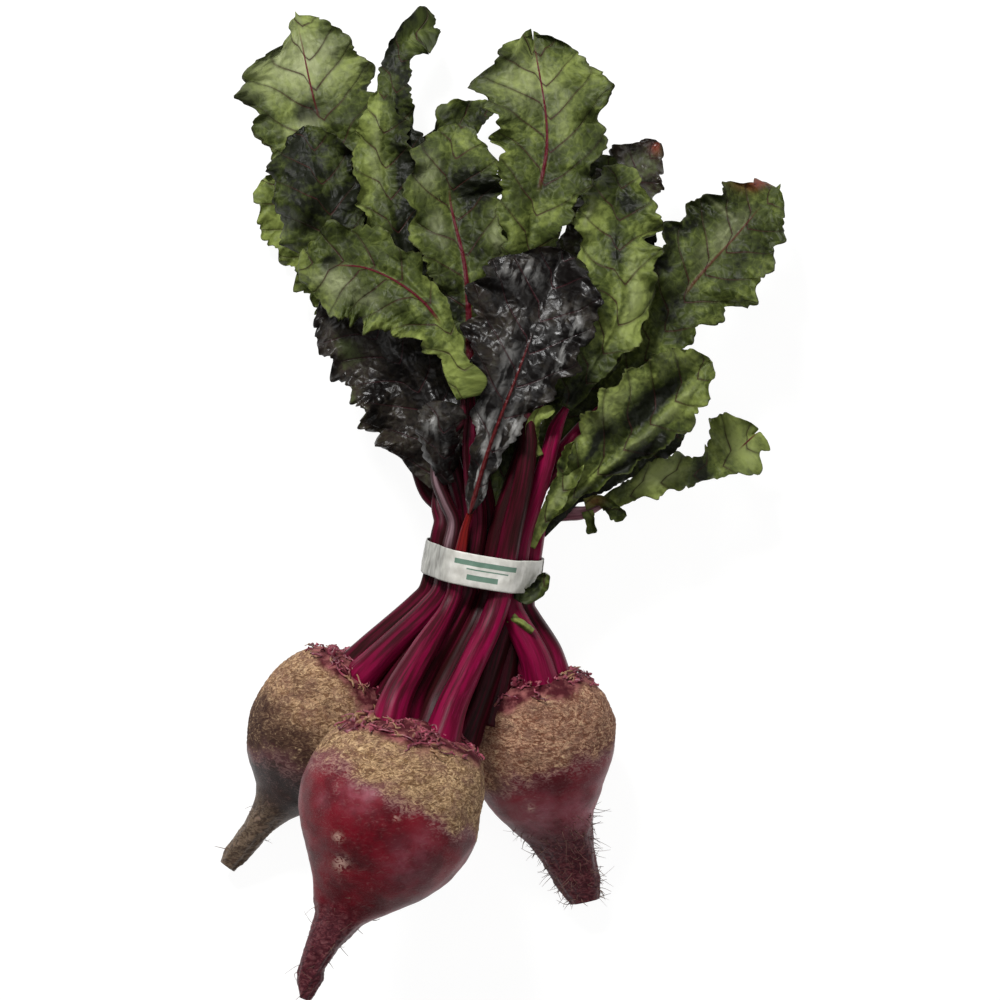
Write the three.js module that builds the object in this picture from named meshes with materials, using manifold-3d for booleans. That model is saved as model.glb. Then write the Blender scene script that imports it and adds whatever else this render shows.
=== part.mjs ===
// A tied bunch of three beetroots, lying down: the roots, their leaf stalks, the leaf blades
// and the flat band round the stalks. Millimetres, +Z up, leaves towards +Y.
// The bunch is laid out round the middle of its band, at (0, 0, BAND_HEIGHT) over the surface,
// and at the end it is shifted so that the origin is the bottom centre of its box.
import * as THREE from 'three';
import { mergeVertices } from 'three/addons/utils/BufferGeometryUtils.js';
import Module from 'manifold-3d';

const wasm = await Module();
wasm.setup();

// Driving dimensions
const BAND_HEIGHT = 45;
const BAND_WIDTH = 12.2;
const BAND_INNER_RADIUS = 21.4;
const BAND_THICKNESS = 0.8;
const BAND_SIDES = 28;
const BAND_TURN = THREE.MathUtils.degToRad( 10 );
const BAND_RISE = THREE.MathUtils.degToRad( 6.5 );
const STALK_PITCH = 8.4;
const STALK_RADIUS_AT_CROWN = 4.7;
const STALK_RADIUS_AT_BAND = 4.15;
const STALK_RADIUS_AT_BLADE = 2.7;
const THICK_UP_TO_Y = - 60;
const THIN_FROM_Y = 75;
const STALK_SIDES = 6;
const CROWN_SPREAD = 1.18;
const MATING_GAP = 0.35;
const BLADE_THICKNESS = 1.1;
const MIDRIB_DEPTH = 2.4;
const LEAF_CLEARANCE = 0.8;

const ROOT_COLOUR = 0x6f2233;
const STALK_COLOUR = 0x7a0c3c;
const GREEN_LEAF_COLOUR = 0x4d6130;
const PURPLE_LEAF_COLOUR = 0x33262c;
const BAND_COLOUR = 0xd9dad3;
const ROOT_ROUGHNESS = 0.65;
const STALK_ROUGHNESS = 0.4;
const LEAF_ROUGHNESS = 0.45;
const BAND_ROUGHNESS = 0.5;

// The three roots. path runs along the middle from the crown to the root tip, and profile holds
// the radius at distances along it: crown, shoulder, belly, taper and the long thin root.
// phase turns the small unevenness of each one's skin.
const BEETS = {
	front: {
		phase: 0.4,
		path: [ [ - 24, - 59, 72.8 ], [ - 33.3, - 88.7, 80.2 ], [ - 38, - 110, 81 ], [ - 49, - 128, 81 ],
			[ - 57, - 139, 80 ], [ - 66, - 157, 79 ] ],
		profile: [ [ 0, 17 ], [ 1.5, 21 ], [ 5, 25.5 ], [ 11, 29.8 ], [ 19, 32 ], [ 28, 32.5 ],
			[ 38, 31 ], [ 47, 27.6 ], [ 55, 22.4 ], [ 63, 15.8 ], [ 70, 10.8 ], [ 78, 7.8 ], [ 92, 5.8 ],
			[ 107, 3.4 ] ],
	},
	left: {
		phase: 1.7,
		path: [ [ - 42.5, - 43, 32 ], [ - 59.5, - 61, 26.6 ], [ - 77, - 88, 19 ], [ - 96, - 114, 6.5 ] ],
		profile: [ [ 0, 16.5 ], [ 1.5, 19 ], [ 5, 23 ], [ 11, 26 ], [ 19, 27.2 ], [ 27, 27.2 ],
			[ 36, 24.8 ], [ 43, 20.4 ], [ 49, 14.8 ], [ 55, 9.8 ], [ 62, 7 ], [ 73, 5.4 ], [ 85, 3.2 ] ],
	},
	right: {
		phase: 2.9,
		path: [ [ 17.5, - 44, 33 ], [ 24, - 69, 27.4 ], [ 32, - 98, 19.5 ], [ 39, - 127, 9 ] ],
		profile: [ [ 0, 18 ], [ 1.5, 21 ], [ 5, 23.8 ], [ 11, 26.8 ], [ 19, 28 ], [ 27, 28 ],
			[ 36, 26 ], [ 45, 21.4 ], [ 53, 15.6 ], [ 61, 10.8 ], [ 70, 8 ], [ 85, 5.4 ] ],
	},
};
const BEET_SIDES = 24;
const OVAL_SHARE = 0.012;
const LUMP_SHARE = 0.008;
const LUMPS = 5;
const LUMP_TWIST = 3;

// The leaves, in the order in which they lie on each other, the lowest first. Each has its beet
// and its place in the pack of stalks inside the band (across in mm, and the row up from the
// middle), the points that its stalk passes after the band, and its blade: the spine from the
// foot to the tip, the half widths to the left and right of it at even stations, and how it is
// tilted (in degrees), folded and waved.
const LEAVES = [
	{
		name: 'leaf_01', beet: 'right', across: 8.4, row: - 2, via: [ [ 18, 30, 29 ] ],
		spine: [ [ 19, 36, 28 ], [ 36, 64, 20 ], [ 52, 90, 10 ], [ 70, 118, 0.5 ] ],
		left: [ 9, 16, 19, 17, 14 ], right: [ 9, 15, 18, 17, 13 ],
		tilt: 3, fold: 0.05, wave: 3.5, waves: 2.5, phase: 0.4, colour: 'green',
	},
	{
		name: 'leaf_02', beet: 'right', across: 0, row: - 2, via: [ [ 3, 32, 30 ] ],
		spine: [ [ 4, 46, 28 ], [ 10, 80, 18 ], [ 14, 112, 8 ], [ 18, 142, 0.5 ] ],
		left: [ 9, 14, 17, 16, 13 ], right: [ 9, 14, 17, 16, 13 ],
		tilt: 2, fold: 0.05, wave: 3.5, waves: 3, phase: 2.4, colour: 'green',
	},
	{
		name: 'leaf_03', beet: 'left', across: - 8.4, row: - 2, via: [ [ - 14, 32, 29 ] ],
		spine: [ [ - 22, 60, 25 ], [ - 44, 94, 13 ], [ - 64, 124, 5 ], [ - 82, 145, 0.5 ] ],
		left: [ 9, 15, 16, 17, 16 ], right: [ 9, 15, 18, 18, 15 ],
		tilt: - 4, fold: 0.05, wave: 4, waves: 3, phase: 1.2, colour: 'green',
	},
	{
		name: 'leaf_04', beet: 'right', across: 4.2, row: - 1, via: [ [ 5, 45, 41 ] ],
		spine: [ [ 3, 52, 38 ], [ - 2, 90, 32 ], [ - 8, 122, 26 ], [ - 12, 148, 19 ], [ - 8, 165, 14 ],
			[ 5, 172, 11 ] ],
		left: [ 9, 13, 14, 13, 10 ], right: [ 9, 13, 13, 11, 9 ],
		tilt: 12, fold: 0.15, wave: 4, waves: 3, phase: 2.2, colour: 'green',
	},
	{
		name: 'leaf_05', beet: 'left', across: - 4.2, row: - 1, via: [ [ - 9, 45, 42 ] ],
		spine: [ [ - 21, 72, 40 ], [ - 44, 126, 36 ], [ - 60, 164, 27 ], [ - 70, 206, 13 ] ],
		left: [ 8, 15, 23, 27, 23 ], right: [ 8, 14, 22, 26, 24 ],
		tilt: - 6, fold: 0.12, wave: 4.5, waves: 3.5, phase: 0.2, colour: 'green',
	},
	{
		name: 'leaf_06', beet: 'left', across: - 12.6, row: - 1, via: [ [ - 19, 26, 38.5 ], [ - 26, 46, 42 ] ],
		spine: [ [ - 34, 72, 42 ], [ - 49, 104, 40 ], [ - 59, 134, 33 ], [ - 66, 164, 24 ] ],
		left: [ 9, 15, 19, 19, 16 ], right: [ 9, 14, 17, 18, 16 ],
		tilt: 14, fold: - 0.1, wave: 4.5, waves: 3, phase: 2.6, colour: 'green',
	},
	{
		name: 'leaf_07', beet: 'right', across: 12.6, row: - 1, via: [ [ 25, 18, 36.5 ] ],
		spine: [ [ 44, 22, 43 ], [ 66, 32, 41 ], [ 87, 37, 32 ], [ 104, 50, 19 ] ],
		left: [ 5, 9, 6, 17, 14 ], right: [ 5, 7, 5, 8, 10 ],
		tilt: 6, fold: 0.2, wave: 2.5, waves: 3, phase: 0.3, colour: 'green',
	},
	{
		name: 'leaf_08', beet: 'front', across: 0, row: 0, via: [ [ - 3, 42, 50 ] ],
		spine: [ [ - 12, 66, 48 ], [ - 24, 124, 41 ], [ - 33, 166, 31 ], [ - 32, 187, 23 ],
			[ - 26, 198, 19 ], [ - 16, 202, 16 ] ],
		left: [ 7, 11, 10, 7, 7 ], right: [ 7, 12, 11, 7, 7 ],
		tilt: 18, fold: 0.2, wave: 3.5, waves: 4, phase: 1.6, colour: 'green',
	},
	{
		name: 'leaf_09', beet: 'left', across: - 8.4, row: 0, via: [ [ - 12, 42, 50 ] ],
		spine: [ [ - 17, 62, 47 ], [ - 30, 112, 42 ], [ - 37, 146, 36 ], [ - 38, 176, 28 ] ],
		left: [ 7, 10, 12, 12, 9 ], right: [ 8, 12, 15, 14, 11 ],
		tilt: - 16, fold: 0.15, wave: 4, waves: 3.5, phase: 3.1, colour: 'green',
	},
	{
		name: 'leaf_10', beet: 'right', across: 8.4, row: 0, via: [ [ 27, 38, 48 ] ],
		spine: [ [ 44, 58, 48 ], [ 60, 78, 46 ], [ 78, 104, 44 ], [ 95, 123, 35 ], [ 110, 141, 22 ] ],
		left: [ 8, 15, 24, 22, 16 ], right: [ 8, 15, 23, 19, 12 ],
		tilt: 8, fold: 0.12, wave: 4.5, waves: 3, phase: 1.9, colour: 'green',
	},
	{
		name: 'leaf_11', beet: 'left', across: - 16.8, row: 0, via: [],
		spine: [ [ - 16.5, 28, 47.5 ], [ - 19, 50, 49 ], [ - 29, 70, 46 ], [ - 44, 86, 37 ], [ - 60, 100, 26 ] ],
		left: [ 21, 25, 22, 19, 15 ], right: [ 15, 20, 19, 17, 14 ],
		tilt: - 10, fold: - 0.06, wave: 4, waves: 3, phase: 2.9, colour: 'purple',
	},
	{
		name: 'leaf_12', beet: 'right', across: 17, row: 0, via: [],
		spine: [ [ 25, 19, 48 ], [ 41, 34, 54 ], [ 60, 52, 55 ], [ 85, 76, 45 ] ],
		left: [ 10, 19, 21, 18, 13 ], right: [ 5, 10, 13, 12, 10 ],
		tilt: - 12, fold: 0.35, wave: 4.5, waves: 3.5, phase: 0.9, colour: 'green',
	},
	{
		name: 'leaf_13', beet: 'front', across: 4.2, row: 1, via: [ [ 18, 50, 55 ] ],
		spine: [ [ 22, 64, 53 ], [ 33, 98, 47 ], [ 43, 122, 43 ], [ 54, 142, 34 ], [ 66, 158, 22 ] ],
		left: [ 8, 13, 15, 14, 12 ], right: [ 8, 12, 14, 14, 12 ],
		tilt: 8, fold: 0.15, wave: 4, waves: 3, phase: 0.9, colour: 'purple',
	},
	{
		name: 'leaf_14', beet: 'front', across: - 4.2, row: 1, via: [ [ - 4, 45, 58 ] ],
		spine: [ [ - 4, 64, 55 ], [ - 6, 108, 53 ], [ - 12, 138, 48 ], [ - 9, 164, 38 ] ],
		left: [ 8, 14, 18, 18, 15 ], right: [ 8, 17, 23, 22, 18 ],
		tilt: - 4, fold: 0.22, wave: 4, waves: 3, phase: 4.0, colour: 'green',
	},
	{
		name: 'leaf_15', beet: 'right', across: 12.6, row: 1, via: [ [ 22, 32, 59 ] ],
		spine: [ [ 31, 58, 60 ], [ 42, 76, 61 ], [ 51, 96, 60 ], [ 49, 118, 55 ], [ 51, 149, 41 ] ],
		left: [ 8, 13, 16, 16, 13 ], right: [ 7, 13, 17, 18, 14 ],
		tilt: - 10, fold: 0.2, wave: 4, waves: 3, phase: 3.6, colour: 'green',
	},
	{
		name: 'leaf_16', beet: 'front', across: 8.4, row: 2, via: [ [ 17, 45, 65 ] ],
		spine: [ [ 13, 92, 58 ], [ 18, 125, 57 ], [ 24, 156, 49 ], [ 19, 197, 31 ] ],
		left: [ 9, 16, 22, 26, 25 ], right: [ 9, 17, 24, 26, 23 ],
		tilt: 4, fold: 0.14, wave: 4.5, waves: 4, phase: 0.6, colour: 'green',
	},
	{
		name: 'leaf_17', beet: 'front', across: - 8.4, row: 2, via: [],
		spine: [ [ - 4.5, 19, 62 ], [ 3, 44, 66 ], [ 13, 70, 68 ], [ 21, 92, 65 ], [ 30, 116, 56 ] ],
		left: [ 6, 13, 25, 30, 24 ], right: [ 6, 12, 21, 25, 20 ],
		tilt: 3, fold: 0.1, wave: 4, waves: 3.5, phase: 1.0, colour: 'purple',
	},
	{
		name: 'leaf_18', beet: 'left', across: - 12.6, row: 1, via: [ [ - 16.5, 33, 61 ], [ - 13.5, 48, 67 ] ],
		spine: [ [ - 7, 61, 71 ], [ - 11, 80, 74 ], [ - 21, 96, 72 ], [ - 42, 109, 62 ], [ - 68, 110, 48 ] ],
		left: [ 8, 18, 23, 23, 19 ], right: [ 5, 8, 14, 19, 17 ],
		tilt: - 5, fold: - 0.12, wave: 4, waves: 3.5, phase: 0.5, colour: 'green',
	},
];

// Every blade: rows across its spine about a row length apart, each with the same columns,
// given as shares of the half width. Every second row reaches less far, which lobes the margin.
const BLADE_ROW_LENGTH = 7.6;
const RIB_REACH = 0.16;
const BLADE_COLUMNS = [ - 1, - 0.55, - RIB_REACH, 0, RIB_REACH, 0.55, 1 ];
const LOBE_DEPTH = 0.085;
const TIP_WIDTH = 1.2;
const TIP_ROUNDS_FROM = 0.76;
const RIB_TAPER = 0.8;
const FOOT_RISE = 1.5;
const WAVES_GROW_OVER = 0.25;
const WAVE_POWER = 1.6;
const RIGHT_LEFT_SHIFT = 1.9;

const point = ( p ) => new THREE.Vector3( p[ 0 ], p[ 1 ], p[ 2 ] );

// Straight steps between the values of an evenly spaced list, read at u from 0 to 1
function readEvenly( values, u ) {

	const place = u * ( values.length - 1 );
	const index = Math.min( Math.floor( place ), values.length - 2 );
	return THREE.MathUtils.lerp( values[ index ], values[ index + 1 ], place - index );

}

// A closed body through a row of rings of equal count, with a middle point at each end
function loft( rings, startMiddle, endMiddle ) {

	const sides = rings[ 0 ].length;
	const vertices = [ ...rings.flat(), startMiddle, endMiddle ];
	const start = vertices.length - 2;
	const end = vertices.length - 1;
	const faces = [];
	for ( let i = 0; i < rings.length - 1; i ++ ) {

		for ( let k = 0; k < sides; k ++ ) {

			const a = i * sides + k;
			const b = i * sides + ( k + 1 ) % sides;
			faces.push( a, b + sides, b );
			faces.push( a, a + sides, b + sides );

		}

	}

	const last = ( rings.length - 1 ) * sides;
	for ( let k = 0; k < sides; k ++ ) {

		faces.push( start, k, ( k + 1 ) % sides );
		faces.push( end, last + ( k + 1 ) % sides, last + k );

	}

	return solid( vertices, faces );

}

function solid( vertices, faces ) {

	const geometry = new THREE.BufferGeometry();
	const positions = vertices.flatMap( ( p ) => [ p.x, p.y, p.z ] );
	geometry.setAttribute( 'position', new THREE.Float32BufferAttribute( positions, 3 ) );
	geometry.setIndex( faces );
	return geometry;

}

// An upright ring across the direction of travel, counted clockwise as seen along it
function uprightRing( middle, heading, radiusAt, sides ) {

	const ring = [];
	for ( let k = 0; k < sides; k ++ ) {

		const angle = ( k + 0.5 ) / sides * Math.PI * 2;
		const across = Math.cos( angle ) * radiusAt( angle );
		const up = Math.sin( angle ) * radiusAt( angle );
		ring.push( new THREE.Vector3(
			middle.x + heading.y * across,
			middle.y - heading.x * across,
			middle.z + up,
		) );

	}

	return ring;

}

function headingOf( vector ) {

	return new THREE.Vector3( vector.x, vector.y, 0 ).normalize();

}

// One root: upright rings along its curved middle line, slightly out of round
function beetGeometry( beet ) {

	const curve = new THREE.CatmullRomCurve3( beet.path.map( point ), false, 'centripetal' );
	const length = curve.getLength();
	const reach = beet.profile.at( - 1 )[ 0 ];
	const rings = beet.profile.map( ( [ distance, radius ] ) => {

		const u = Math.min( distance / reach, 1 );
		const middle = curve.getPointAt( u );
		const heading = headingOf( curve.getTangentAt( u ) );
		const radiusAt = ( angle ) => {

			const oval = OVAL_SHARE * Math.sin( 2 * angle + beet.phase );
			const twist = 2 * beet.phase + LUMP_TWIST * distance / length;
			const lumps = LUMP_SHARE * Math.sin( LUMPS * angle + twist );
			return radius * ( 1 + oval + lumps );

		};

		return uprightRing( middle, heading, radiusAt, BEET_SIDES );

	} );
	return loft( rings, curve.getPointAt( 0 ), curve.getPointAt( 1 ) );

}

function toManifold( geometry ) {

	return new wasm.Manifold( new wasm.Mesh( {
		numProp: 3,
		vertProperties: new Float32Array( geometry.attributes.position.array ),
		triVerts: new Uint32Array( geometry.index.array ),
	} ) );

}

function fromManifold( manifold ) {

	const mesh = manifold.getMesh();
	const geometry = new THREE.BufferGeometry();
	const positions = new THREE.Float32BufferAttribute( Array.from( mesh.vertProperties ), 3 );
	geometry.setAttribute( 'position', positions );
	geometry.setIndex( Array.from( mesh.triVerts ) );
	return geometry;

}

// The small flat that a root rests on: what would reach below the surface is cut away
const GROUND_SPAN = 400;
const GROUND_DEPTH = 40;

function cutLevel( geometry ) {

	const below = new THREE.BoxGeometry( GROUND_SPAN, GROUND_SPAN, GROUND_DEPTH );
	below.deleteAttribute( 'normal' );
	below.deleteAttribute( 'uv' );
	below.translate( 0, 0, - GROUND_DEPTH / 2 );
	return fromManifold( toManifold( geometry ).subtract( toManifold( mergeVertices( below ) ) ) );

}

// The band's own axis: along the bunch, rising a little towards the leaves
const bandAlong = new THREE.Vector3(
	Math.sin( BAND_TURN ) * Math.cos( BAND_RISE ),
	Math.cos( BAND_TURN ) * Math.cos( BAND_RISE ),
	Math.sin( BAND_RISE ),
);
const bandAcross = new THREE.Vector3( Math.cos( BAND_TURN ), - Math.sin( BAND_TURN ), 0 );
const bandUp = new THREE.Vector3().crossVectors( bandAcross, bandAlong );
const bandMiddle = new THREE.Vector3( 0, 0, BAND_HEIGHT );

function atBand( across, up, along ) {

	return bandMiddle.clone()
		.addScaledVector( bandAcross, across )
		.addScaledVector( bandUp, up )
		.addScaledVector( bandAlong, along );

}

// The band: a thin flat ring, closed round all the stalks
function bandGeometry() {

	const outer = BAND_INNER_RADIUS + BAND_THICKNESS;
	const corners = [
		[ BAND_INNER_RADIUS, - BAND_WIDTH / 2 ],
		[ outer, - BAND_WIDTH / 2 ],
		[ outer, BAND_WIDTH / 2 ],
		[ BAND_INNER_RADIUS, BAND_WIDTH / 2 ],
	];
	const vertices = [];
	for ( let k = 0; k < BAND_SIDES; k ++ ) {

		const angle = k / BAND_SIDES * Math.PI * 2;
		for ( const [ radius, along ] of corners ) {

			vertices.push( atBand( Math.cos( angle ) * radius, Math.sin( angle ) * radius, along ) );

		}

	}

	const faces = [];
	const count = corners.length;
	for ( let k = 0; k < BAND_SIDES; k ++ ) {

		const next = ( k + 1 ) % BAND_SIDES;
		for ( let c = 0; c < count; c ++ ) {

			const a = k * count + c;
			const b = k * count + ( c + 1 ) % count;
			const d = next * count + c;
			const e = next * count + ( c + 1 ) % count;
			faces.push( a, b, e, a, e, d );

		}

	}

	return solid( vertices, faces );

}

// How high the leaves laid so far reach over each small square of the surface. Each new stalk
// and blade is laid on it, as leaves lie on each other, so that none passes through another.
const CELL = 1.5;
const FIELD_LOW = new THREE.Vector2( - 115, - 5 );
const FIELD_COLUMNS = 165;
const FIELD_ROWS = 160;
const reached = new Float64Array( FIELD_COLUMNS * FIELD_ROWS ).fill( - LEAF_CLEARANCE );

function cellIndex( column, row ) {

	if ( column < 0 || row < 0 || column >= FIELD_COLUMNS || row >= FIELD_ROWS ) return - 1;
	return row * FIELD_COLUMNS + column;

}

function raise( next, column, row, height ) {

	for ( let dr = - 1; dr <= 1; dr ++ ) {

		for ( let dc = - 1; dc <= 1; dc ++ ) {

			const cell = cellIndex( column + dc, row + dr );
			if ( cell >= 0 ) next[ cell ] = Math.max( next[ cell ], height );

		}

	}

}

// Every cell whose middle is in the plan of a triangle, and those at its corners and the
// middles of its edges, each with its three weights there
const CORNERS_AND_EDGES = [
	[ 1, 0, 0 ],
	[ 0, 1, 0 ],
	[ 0, 0, 1 ],
	[ 0.5, 0.5, 0 ],
	[ 0, 0.5, 0.5 ],
	[ 0.5, 0, 0.5 ],
];
const SMALLEST_AREA = 1e-6;
const LEAST_WEIGHT = - 0.02;

function cellsIn( a, b, c, visit ) {

	for ( const weights of CORNERS_AND_EDGES ) {

		const x = weights[ 0 ] * a.x + weights[ 1 ] * b.x + weights[ 2 ] * c.x;
		const y = weights[ 0 ] * a.y + weights[ 1 ] * b.y + weights[ 2 ] * c.y;
		visit( Math.round( ( x - FIELD_LOW.x ) / CELL ), Math.round( ( y - FIELD_LOW.y ) / CELL ), weights );

	}

	const area = ( b.x - a.x ) * ( c.y - a.y ) - ( c.x - a.x ) * ( b.y - a.y );
	if ( Math.abs( area ) < SMALLEST_AREA ) return;
	const low = ( axis ) => Math.min( a[ axis ], b[ axis ], c[ axis ] );
	const high = ( axis ) => Math.max( a[ axis ], b[ axis ], c[ axis ] );
	const firstColumn = Math.floor( ( low( 'x' ) - FIELD_LOW.x ) / CELL );
	const lastColumn = Math.ceil( ( high( 'x' ) - FIELD_LOW.x ) / CELL );
	const firstRow = Math.floor( ( low( 'y' ) - FIELD_LOW.y ) / CELL );
	const lastRow = Math.ceil( ( high( 'y' ) - FIELD_LOW.y ) / CELL );
	for ( let row = firstRow; row <= lastRow; row ++ ) {

		for ( let column = firstColumn; column <= lastColumn; column ++ ) {

			const x = FIELD_LOW.x + column * CELL;
			const y = FIELD_LOW.y + row * CELL;
			const wb = ( ( x - a.x ) * ( c.y - a.y ) - ( c.x - a.x ) * ( y - a.y ) ) / area;
			const wc = ( ( b.x - a.x ) * ( y - a.y ) - ( x - a.x ) * ( b.y - a.y ) ) / area;
			const wa = 1 - wb - wc;
			if ( Math.min( wa, wb, wc ) > LEAST_WEIGHT ) visit( column, row, [ wa, wb, wc ] );

		}

	}

}

// The middle of each beet's own stalks in the pack inside the band
const clusters = {};
for ( const name of Object.keys( BEETS ) ) {

	const own = LEAVES.filter( ( leaf ) => leaf.beet === name );
	clusters[ name ] = {
		across: own.reduce( ( sum, leaf ) => sum + leaf.across, 0 ) / own.length,
		row: own.reduce( ( sum, leaf ) => sum + leaf.row, 0 ) / own.length,
	};

}

// The stalk's middle line from the crown, through its place in the band, to the blade's foot.
// It is straight through the band, and for a short way at the crown and at the blade.
const ROW_PITCH = STALK_PITCH * Math.sqrt( 3 ) / 2;
const STRAIGHT_AT_CROWN = 9;
const STRAIGHT_AT_BLADE = 5;
const STRAIGHT_STRETCH = [ - 12, - 8, 9, 14 ];

function stalkPoints( leaf ) {

	const beet = BEETS[ leaf.beet ];
	const crown = point( beet.path[ 0 ] );
	const out = new THREE.CatmullRomCurve3( beet.path.map( point ), false, 'centripetal' )
		.getTangentAt( 0 ).negate();
	const heading = headingOf( out );
	const across = ( leaf.across - clusters[ leaf.beet ].across ) * CROWN_SPREAD;
	const up = ( leaf.row - clusters[ leaf.beet ].row ) * ROW_PITCH * CROWN_SPREAD;
	const foot = crown.clone().addScaledVector( heading, MATING_GAP );
	foot.x += heading.y * across;
	foot.y -= heading.x * across;
	foot.z += up;
	const afterFoot = foot.clone().addScaledVector( heading, STRAIGHT_AT_CROWN );
	afterFoot.z += out.z * STRAIGHT_AT_CROWN;
	const inBand = STRAIGHT_STRETCH.map( ( along ) => atBand( leaf.across, leaf.row * ROW_PITCH, along ) );
	const blade = bladeStart( leaf );
	const end = blade.middle.clone().addScaledVector( blade.heading, - MATING_GAP * 1.5 );
	const beforeEnd = end.clone().addScaledVector( blade.heading, - STRAIGHT_AT_BLADE );
	return [ foot, afterFoot, ...inBand, ...leaf.via.map( point ), beforeEnd, end ];

}

function bladeStart( leaf ) {

	const curve = new THREE.CatmullRomCurve3( leaf.spine.map( point ), false, 'centripetal' );
	return { middle: curve.getPointAt( 0 ), heading: headingOf( curve.getTangentAt( 0 ) ) };

}

const STALK_STEPS = 14;
const SAMPLES_PER_STEP = 4;
const ARCH_FROM_Y = 32;
const ARCH_SLOPE = 0.35;

function stalkMiddles( leaf ) {

	const curve = new THREE.CatmullRomCurve3( stalkPoints( leaf ), false, 'centripetal' );
	const steps = STALK_STEPS * SAMPLES_PER_STEP;
	const middles = [];
	for ( let i = 0; i <= steps; i ++ ) {

		const middle = curve.getPointAt( i / steps );
		const tangent = curve.getTangentAt( i / steps );
		middles.push( { middle, heading: headingOf( tangent ), lift: 0 } );

	}

	middles.at( - 1 ).heading = bladeStart( leaf ).heading;
	return middles;

}

function stalkRadius( y ) {

	if ( y < 0 ) {

		return THREE.MathUtils.lerp( STALK_RADIUS_AT_BAND, STALK_RADIUS_AT_CROWN, y / THICK_UP_TO_Y );

	}

	const thinning = Math.min( y / THIN_FROM_Y, 1 );
	return THREE.MathUtils.lerp( STALK_RADIUS_AT_BAND, STALK_RADIUS_AT_BLADE, thinning );

}

function discCells( middle, radius, visit ) {

	const reach = Math.ceil( radius / CELL ) + 1;
	const column = Math.round( ( middle.x - FIELD_LOW.x ) / CELL );
	const row = Math.round( ( middle.y - FIELD_LOW.y ) / CELL );
	for ( let dr = - reach; dr <= reach; dr ++ ) {

		for ( let dc = - reach; dc <= reach; dc ++ ) {

			const x = FIELD_LOW.x + ( column + dc ) * CELL - middle.x;
			const y = FIELD_LOW.y + ( row + dr ) * CELL - middle.y;
			const rest = radius * radius - x * x - y * y;
			if ( rest > 0 ) visit( column + dc, row + dr, Math.sqrt( rest ) );

		}

	}

}

// Lays a stalk's free end on what is below it, in one smooth arch
function layStalk( middles ) {

	const needed = middles.map( ( { middle } ) => {

		let need = 0;
		if ( middle.y < ARCH_FROM_Y ) return need;
		const radius = stalkRadius( middle.y );
		discCells( middle, radius, ( column, row, half ) => {

			const cell = cellIndex( column, row );
			if ( cell >= 0 ) need = Math.max( need, reached[ cell ] + LEAF_CLEARANCE - ( middle.z - half ) );

		} );
		return need;

	} );
	middles.forEach( ( item ) => {

		middles.forEach( ( other, j ) => {

			const away = item.middle.distanceTo( other.middle );
			item.lift = Math.max( item.lift, needed[ j ] - away * ARCH_SLOPE );

		} );

	} );
	middles.forEach( ( item ) => {

		item.middle.z += item.lift;

	} );

}

function stalkGeometry( middles ) {

	const chosen = middles.filter( ( item, i ) => i % SAMPLES_PER_STEP === 0 );
	const rings = chosen.map( ( { middle, heading } ) => {

		return uprightRing( middle, heading, () => stalkRadius( middle.y ), STALK_SIDES );

	} );
	return loft( rings, chosen[ 0 ].middle, chosen.at( - 1 ).middle );

}

// The plan of a blade: rows across its spine, each reaching out to the waved margin
function bladePlan( leaf ) {

	const curve = new THREE.CatmullRomCurve3( leaf.spine.map( point ), false, 'centripetal' );
	const length = curve.getLength();
	const rowCount = Math.round( length / BLADE_ROW_LENGTH / 2 ) * 2 + 1;
	const rows = [];
	for ( let i = 0; i <= rowCount; i ++ ) {

		const u = i / rowCount;
		const middle = curve.getPointAt( u );
		const heading = headingOf( curve.getTangentAt( u ) );
		const lobe = 1 - LOBE_DEPTH * ( 1 + Math.cos( Math.PI * i ) );
		const towardsTip = Math.max( 0, ( u - TIP_ROUNDS_FROM ) / ( 1 - TIP_ROUNDS_FROM ) );
		const blunt = Math.sqrt( 1 - towardsTip ** 2 );
		const widthOf = ( side ) => {

			const width = readEvenly( [ STALK_RADIUS_AT_BLADE, ...side ], u );
			return Math.max( width * lobe * blunt, TIP_WIDTH );

		};
		const left = widthOf( leaf.left );
		const right = widthOf( leaf.right );
		rows.push( { u, middle, heading, left, right } );

	}

	return rows;

}

// The top of a blade: the spine's height, raised at the foot with the stalk that it grows from,
// then tilted, folded along the midrib and waved towards the margin. The midrib stands out below.
function bladeSurface( leaf, footLift ) {

	const slope = Math.tan( THREE.MathUtils.degToRad( leaf.tilt ) );
	return bladePlan( leaf ).map( ( row ) => BLADE_COLUMNS.map( ( v ) => {

		const across = v * ( v < 0 ? row.left : row.right );
		const growing = Math.min( row.u / WAVES_GROW_OVER, 1 );
		const side = v < 0 ? RIGHT_LEFT_SHIFT : 0;
		const ripple = Math.sin( Math.PI * 2 * leaf.waves * row.u + leaf.phase + side );
		const top = new THREE.Vector3(
			row.middle.x + row.heading.y * across,
			row.middle.y - row.heading.x * across,
			row.middle.z + FOOT_RISE + footLift * ( 1 - row.u ) ** 2
				+ growing * ( slope * across + leaf.fold * Math.abs( across ) )
				+ growing * leaf.wave * Math.abs( v ) ** WAVE_POWER * ripple,
		);
		const rib = Math.max( 0, 1 - Math.abs( v ) / RIB_REACH ) * MIDRIB_DEPTH * ( 1 - row.u ) ** RIB_TAPER;
		return { top, thickness: BLADE_THICKNESS + rib, lift: 0 };

	} ) );

}

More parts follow.
